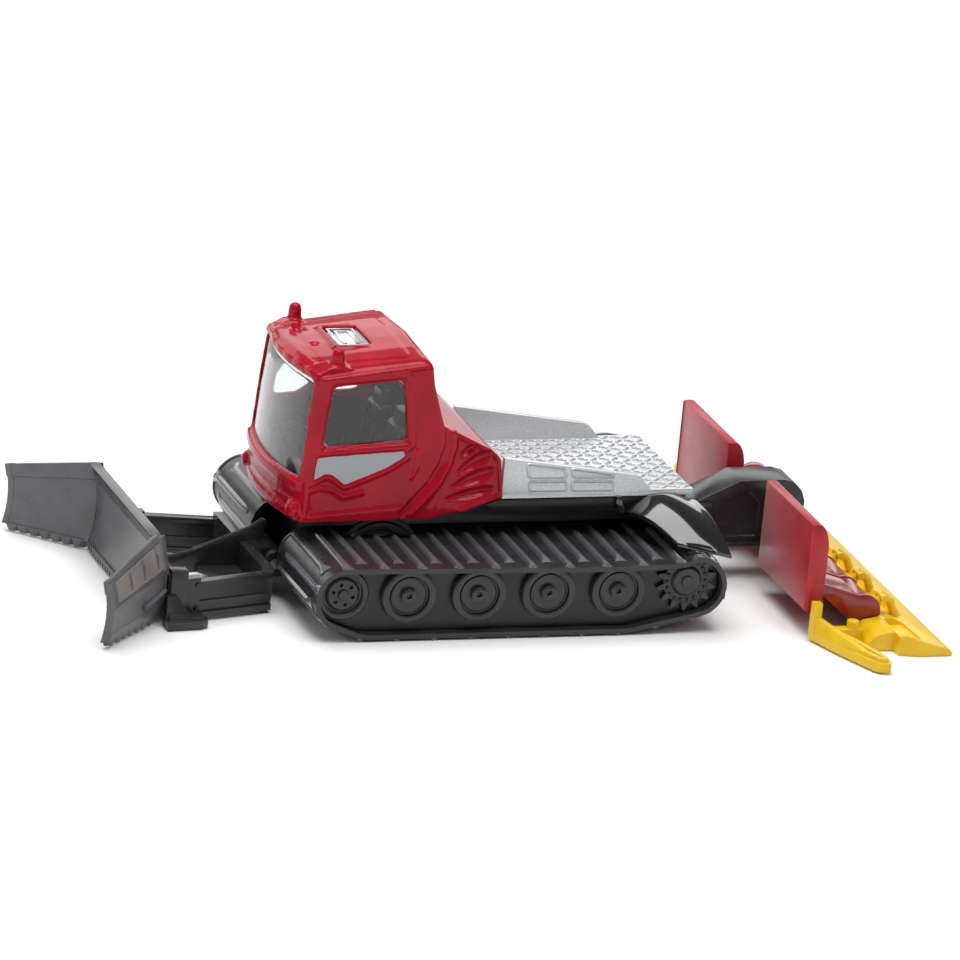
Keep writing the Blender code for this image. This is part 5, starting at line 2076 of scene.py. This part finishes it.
    def finisher(self, side: int) -> None:
        """Make the side ski with its double rim, post and link blocks."""
        root_y = self.hood_outer + 0.9
        outline = [
            (-38.4, root_y), (-41.6, root_y), (-43.6, root_y + 5), (-45.4, self.reach - 1.2),
            (-45.1, self.reach - 0.3), (-44.4, self.reach), (-43.2, self.reach - 0.4), (-40.4, root_y + 6),
        ]
        flat = rounded(mirrored(outline, side), 0.7)
        ski = plate("finisher_moulding_" + side_name(side), flat, Plane.TOP, 0.3, 1.5)
        inner = grown(outline, -0.45)
        raised = rounded(mirrored(inner, side), 0.5)
        pan = rounded(mirrored(grown(outline, -1.1), side), 0.4)
        upper = plate("upper", raised, Plane.TOP, 1.3, 2.0)
        upper.take(plate("pan", pan, Plane.TOP, 1.62, 3.0))
        ski.add(upper)
        rim = [(-38.46, root_y + 0.06), (-39.3, root_y + 0.06), (-41.3, root_y + 6)]
        rim += [(-44.3, self.reach - 0.9), (-43.6, self.reach - 0.8), (-40.46, root_y + 6)]
        lower = [(u, side * v, 0.5) for u, v in rim]
        upper_rim = [
            (u, side * v, 3.6 - 2.4 * ((v - root_y) / (self.reach - root_y)) ** 1.5) for u, v in rim
        ]
        ski.add(Solid("rim", loft([lower, upper_rim])))
        post_low, post_high = span(side, root_y + 0.05, root_y + 1.3)
        ski.add(Solid("post", block((-39.6, post_low, 1.0), (-38.5, post_high, 5.4))))
        low, high = span(side, root_y + 1.4, root_y + 3)
        ski.add(Solid("link", block((-44.9, low, 0.6), (-41.0, high, 2.4))))
        knob_y = root_y + 2.2
        ski.add(Solid("knob", rod((-43.6, side * knob_y, 1.2), (-43.6, side * knob_y, 3.4), 0.75, 18)))
        ski.bevel(0.16, 2, 30).finish(
            "tiller", "yellow_plastic", YELLOW_PLASTIC, ["side_finisher_" + side_name(side)], 30
        )

    def knob(self) -> None:
        """Make the round red motor beside the boom."""
        profile = [
            (0.4, 0.0), (1.0, 0.0), (1.45, 0.3), (1.6, 0.9), (1.6, 3.2), (1.45, 3.8), (1.0, 4.1), (0.4, 4.2)
        ]
        motor = Solid("hood_motor", turned(profile, (-42.2, -7.2, 8.2), (0.1, 0, 1), 28))
        motor.finish("tiller", "red_plastic", DRUM_PLASTIC, (), 40)

    def build(self) -> None:
        """Make the tiller."""
        self.arm()
        for side in SIDES:
            self.hood(side)
            self.finisher(side)
        self.drum_cover()
        self.comb()
        self.knob()


# ---------------------------------------------------------------- the rest of the chassis


@dataclass
class ChassisTrim:
    """Finishes for the chassis nodes that keep their own shape."""

    edge: float = 0.12
    arch: Point2 = (15.2, 6.6)
    arch_size: float = 1.13
    arch_profile: tuple[Point2, ...] = (
        (0.4, 0.9), (2.9, 0.9), (3.1, 0.6), (3.6, 0.55), (3.8, 0.95), (4.5, 0.95), (4.7, 0.6),
        (5.15, 0.55), (5.3, 0.0),
    )

    def build(self) -> None:
        """Round the edges of the kept nodes and dress them."""
        self.deck()
        for name in ("chassis_frame", "cab_floor"):
            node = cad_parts[name]
            weld = node.modifiers.new("weld", "WELD")
            weld.merge_threshold = 1e-6
            step = node.modifiers.new("edge", "BEVEL")
            step.width = self.edge * MM
            step.segments = 2
            step.limit_method = "ANGLE"
            step.angle_limit = math.radians(35)
            self.dress(node, CHASSIS_PLASTIC)
        for name in ("blade_pin", "tiller_pin"):
            self.dress(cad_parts[name], STEEL)

    def deck(self) -> None:
        """Make the deck over the tracks, with a ledge along the bed and a round arch on each side."""
        outline = [(-26.0, 11.3), (25.4, 11.3), (25.4, 12.1), (8.0, 12.1), (2.0, 14.5), (-26.0, 14.5)]
        deck = plate("deck_moulding", outline, Plane.SIDE, -9.6, 9.6)
        for side in SIDES:
            low, high = span(side, 9.0, 10.7)
            ledge = [(-24.0, 13.7), (0.4, 13.1), (1.6, 14.1), (0.0, 14.65), (-24.0, 14.65)]
            deck.add(plate("ledge", ledge, Plane.SIDE, low, high))
            edge = high - (0.05 if side > 0 else 0)
            for x in (-5.6, -13.8):
                deck.add(Solid("tab", block((x - 0.7, low, 13.1), (x + 0.7, edge, 13.9))))
            x, z = self.arch
            profile = [(radius * self.arch_size, height) for radius, height in self.arch_profile]
            arch = Solid("arch", turned(profile, (x, side * 9.3, z), (0, side, 0), 48))
            arch.keep(Solid("above", block((x - 8, -12, 9.95), (x + 8, 12, 12.2))))
            deck.add(arch)
        deck.bevel(self.edge, 2, 35).finish(
            "chassis", "black_plastic", CHASSIS_PLASTIC, ["chassis_deck"], 35
        )

    @staticmethod
    def dress(node: bpy.types.Object, finish: Finish) -> None:
        """Give a CAD node its finish."""
        material = finish.material()
        if not node.material_slots:
            node.data.materials.append(material)
        for slot in node.material_slots:
            slot.material = material
        LOG.info("%s: kept, %s", node.name, finish.name)


# ---------------------------------------------------------------- studio


@dataclass(frozen=True)
class StudioFloor(Finish):
    """Matt white card laid flat: it shows nothing but the object's own soft shadow."""

    def shader(self, material: Material) -> Inputs:
        """Return a matt card with no gloss."""
        return {"Specular IOR Level": 0.1}


@dataclass
class Studio:
    """Floor, lights and camera."""

    target: Point3 = (-1.3, 0.0, 13.53)
    towards: Point3 = (0.333, 0.886, 0.324)
    distance: float = 1300.0
    focal: float = 378.8
    roll: float = 5.7
    floor_half: float = 6.0
    sky: float = 0.2

    def floor(self) -> None:
        """Lay a broad white floor."""
        shape = bmesh.new()
        size = self.floor_half
        shape.faces.new([shape.verts.new((x, y, 0)) for x, y in oblong((-size, -size), (size, size))])
        mesh = bpy.data.meshes.new("studio_floor")
        shape.to_mesh(mesh)
        shape.free()
        card = bpy.data.objects.new("studio_floor", mesh)
        mesh.materials.append(StudioFloor("white_card", "F7F7F7", 0.9).material())
        bpy.context.scene.collection.objects.link(card)

    def light(self, name: str, at: Point3, size: Point2, power: float) -> None:
        """Hang a soft box that faces the object.

        Args:
            name: its name.
            at: its place, in metres.
            size: its width and height, in metres.
            power: its power in watts.
        """
        data = bpy.data.lights.new(name, "AREA")
        data.shape = "RECTANGLE"
        data.size, data.size_y = size
        data.energy = power
        lamp = bpy.data.objects.new(name, data)
        lamp.location = at
        aim = Vector((0, 0, 0.015)) - Vector(at)
        lamp.rotation_euler = aim.to_track_quat("-Z", "Y").to_euler()
        bpy.context.scene.collection.objects.link(lamp)

    def lights(self) -> None:
        """Hang a big box above and one behind, two small ones in front, and a weak white sky."""
        self.light("top_box", (0.05, 0.02, 0.8), (0.9, 0.55), 7.2)
        self.light("back_box", (-0.1, -1.1, 0.5), (2.2, 0.45), 5.5)
        self.light("front_box", (0.75, 0.2, 0.45), (0.3, 0.25), 0.8)
        self.light("near_box", (-0.3, 0.8, 0.7), (0.5, 0.12), 0.7)
        world = bpy.data.worlds.new("white_tent")
        bpy.context.scene.world = world
        world.use_nodes = True
        tree = world.node_tree
        tree.nodes.clear()
        back = add_node(
            tree, "ShaderNodeBackground", inputs={"Color": linear("FFFFFF"), "Strength": self.sky}
        )
        add_node(tree, "ShaderNodeOutputWorld", inputs={"Surface": back.outputs["Background"]})

    def camera(self) -> None:
        """Place the camera on its line of sight, turned a little about it."""
        away = Vector(self.towards).normalized()
        right = Vector((0, 0, 1)).cross(away).normalized()
        up = away.cross(right)
        turn = math.radians(self.roll)
        across = right * math.cos(turn) + up * math.sin(turn)
        over = up * math.cos(turn) - right * math.sin(turn)
        data = bpy.data.cameras.new("camera")
        data.lens = self.focal
        data.sensor_width = 36.0
        data.clip_start = 0.01
        data.clip_end = 20.0
        camera = bpy.data.objects.new("camera", data)
        place = (Vector(self.target) + away * self.distance) * MM
        camera.matrix_world = Matrix(
            (
                (across.x, over.x, away.x, place.x), (across.y, over.y, away.y, place.y),
                (across.z, over.z, away.z, place.z), (0, 0, 0, 1),
            )
        )
        bpy.context.scene.collection.objects.link(camera)
        bpy.context.scene.camera = camera

    def build(self) -> None:
        """Set up the studio."""
        self.floor()
        self.lights()
        self.camera()
        bpy.context.scene.view_settings.view_transform = "Standard"


def main() -> None:
    """Build every sub-assembly in order."""
    builders: list[tuple[str, Callable[[], None]]] = [
        ("studio", Studio().build),
        ("left track", Track(1).build),
        ("right track", Track(-1).build),
        ("cab", Cab().build),
        ("load bed", LoadBed().build),
        ("left mudguard", Mudguard(1).build),
        ("right mudguard", Mudguard(-1).build),
        ("blade", Blade().build),
        ("carrier", Carrier().build),
        ("tiller", Tiller().build),
        ("chassis", ChassisTrim().build),
    ]
    for name, build in builders:
        LOG.info("building the %s", name)
        build()


if __name__ == "__main__":
    main()
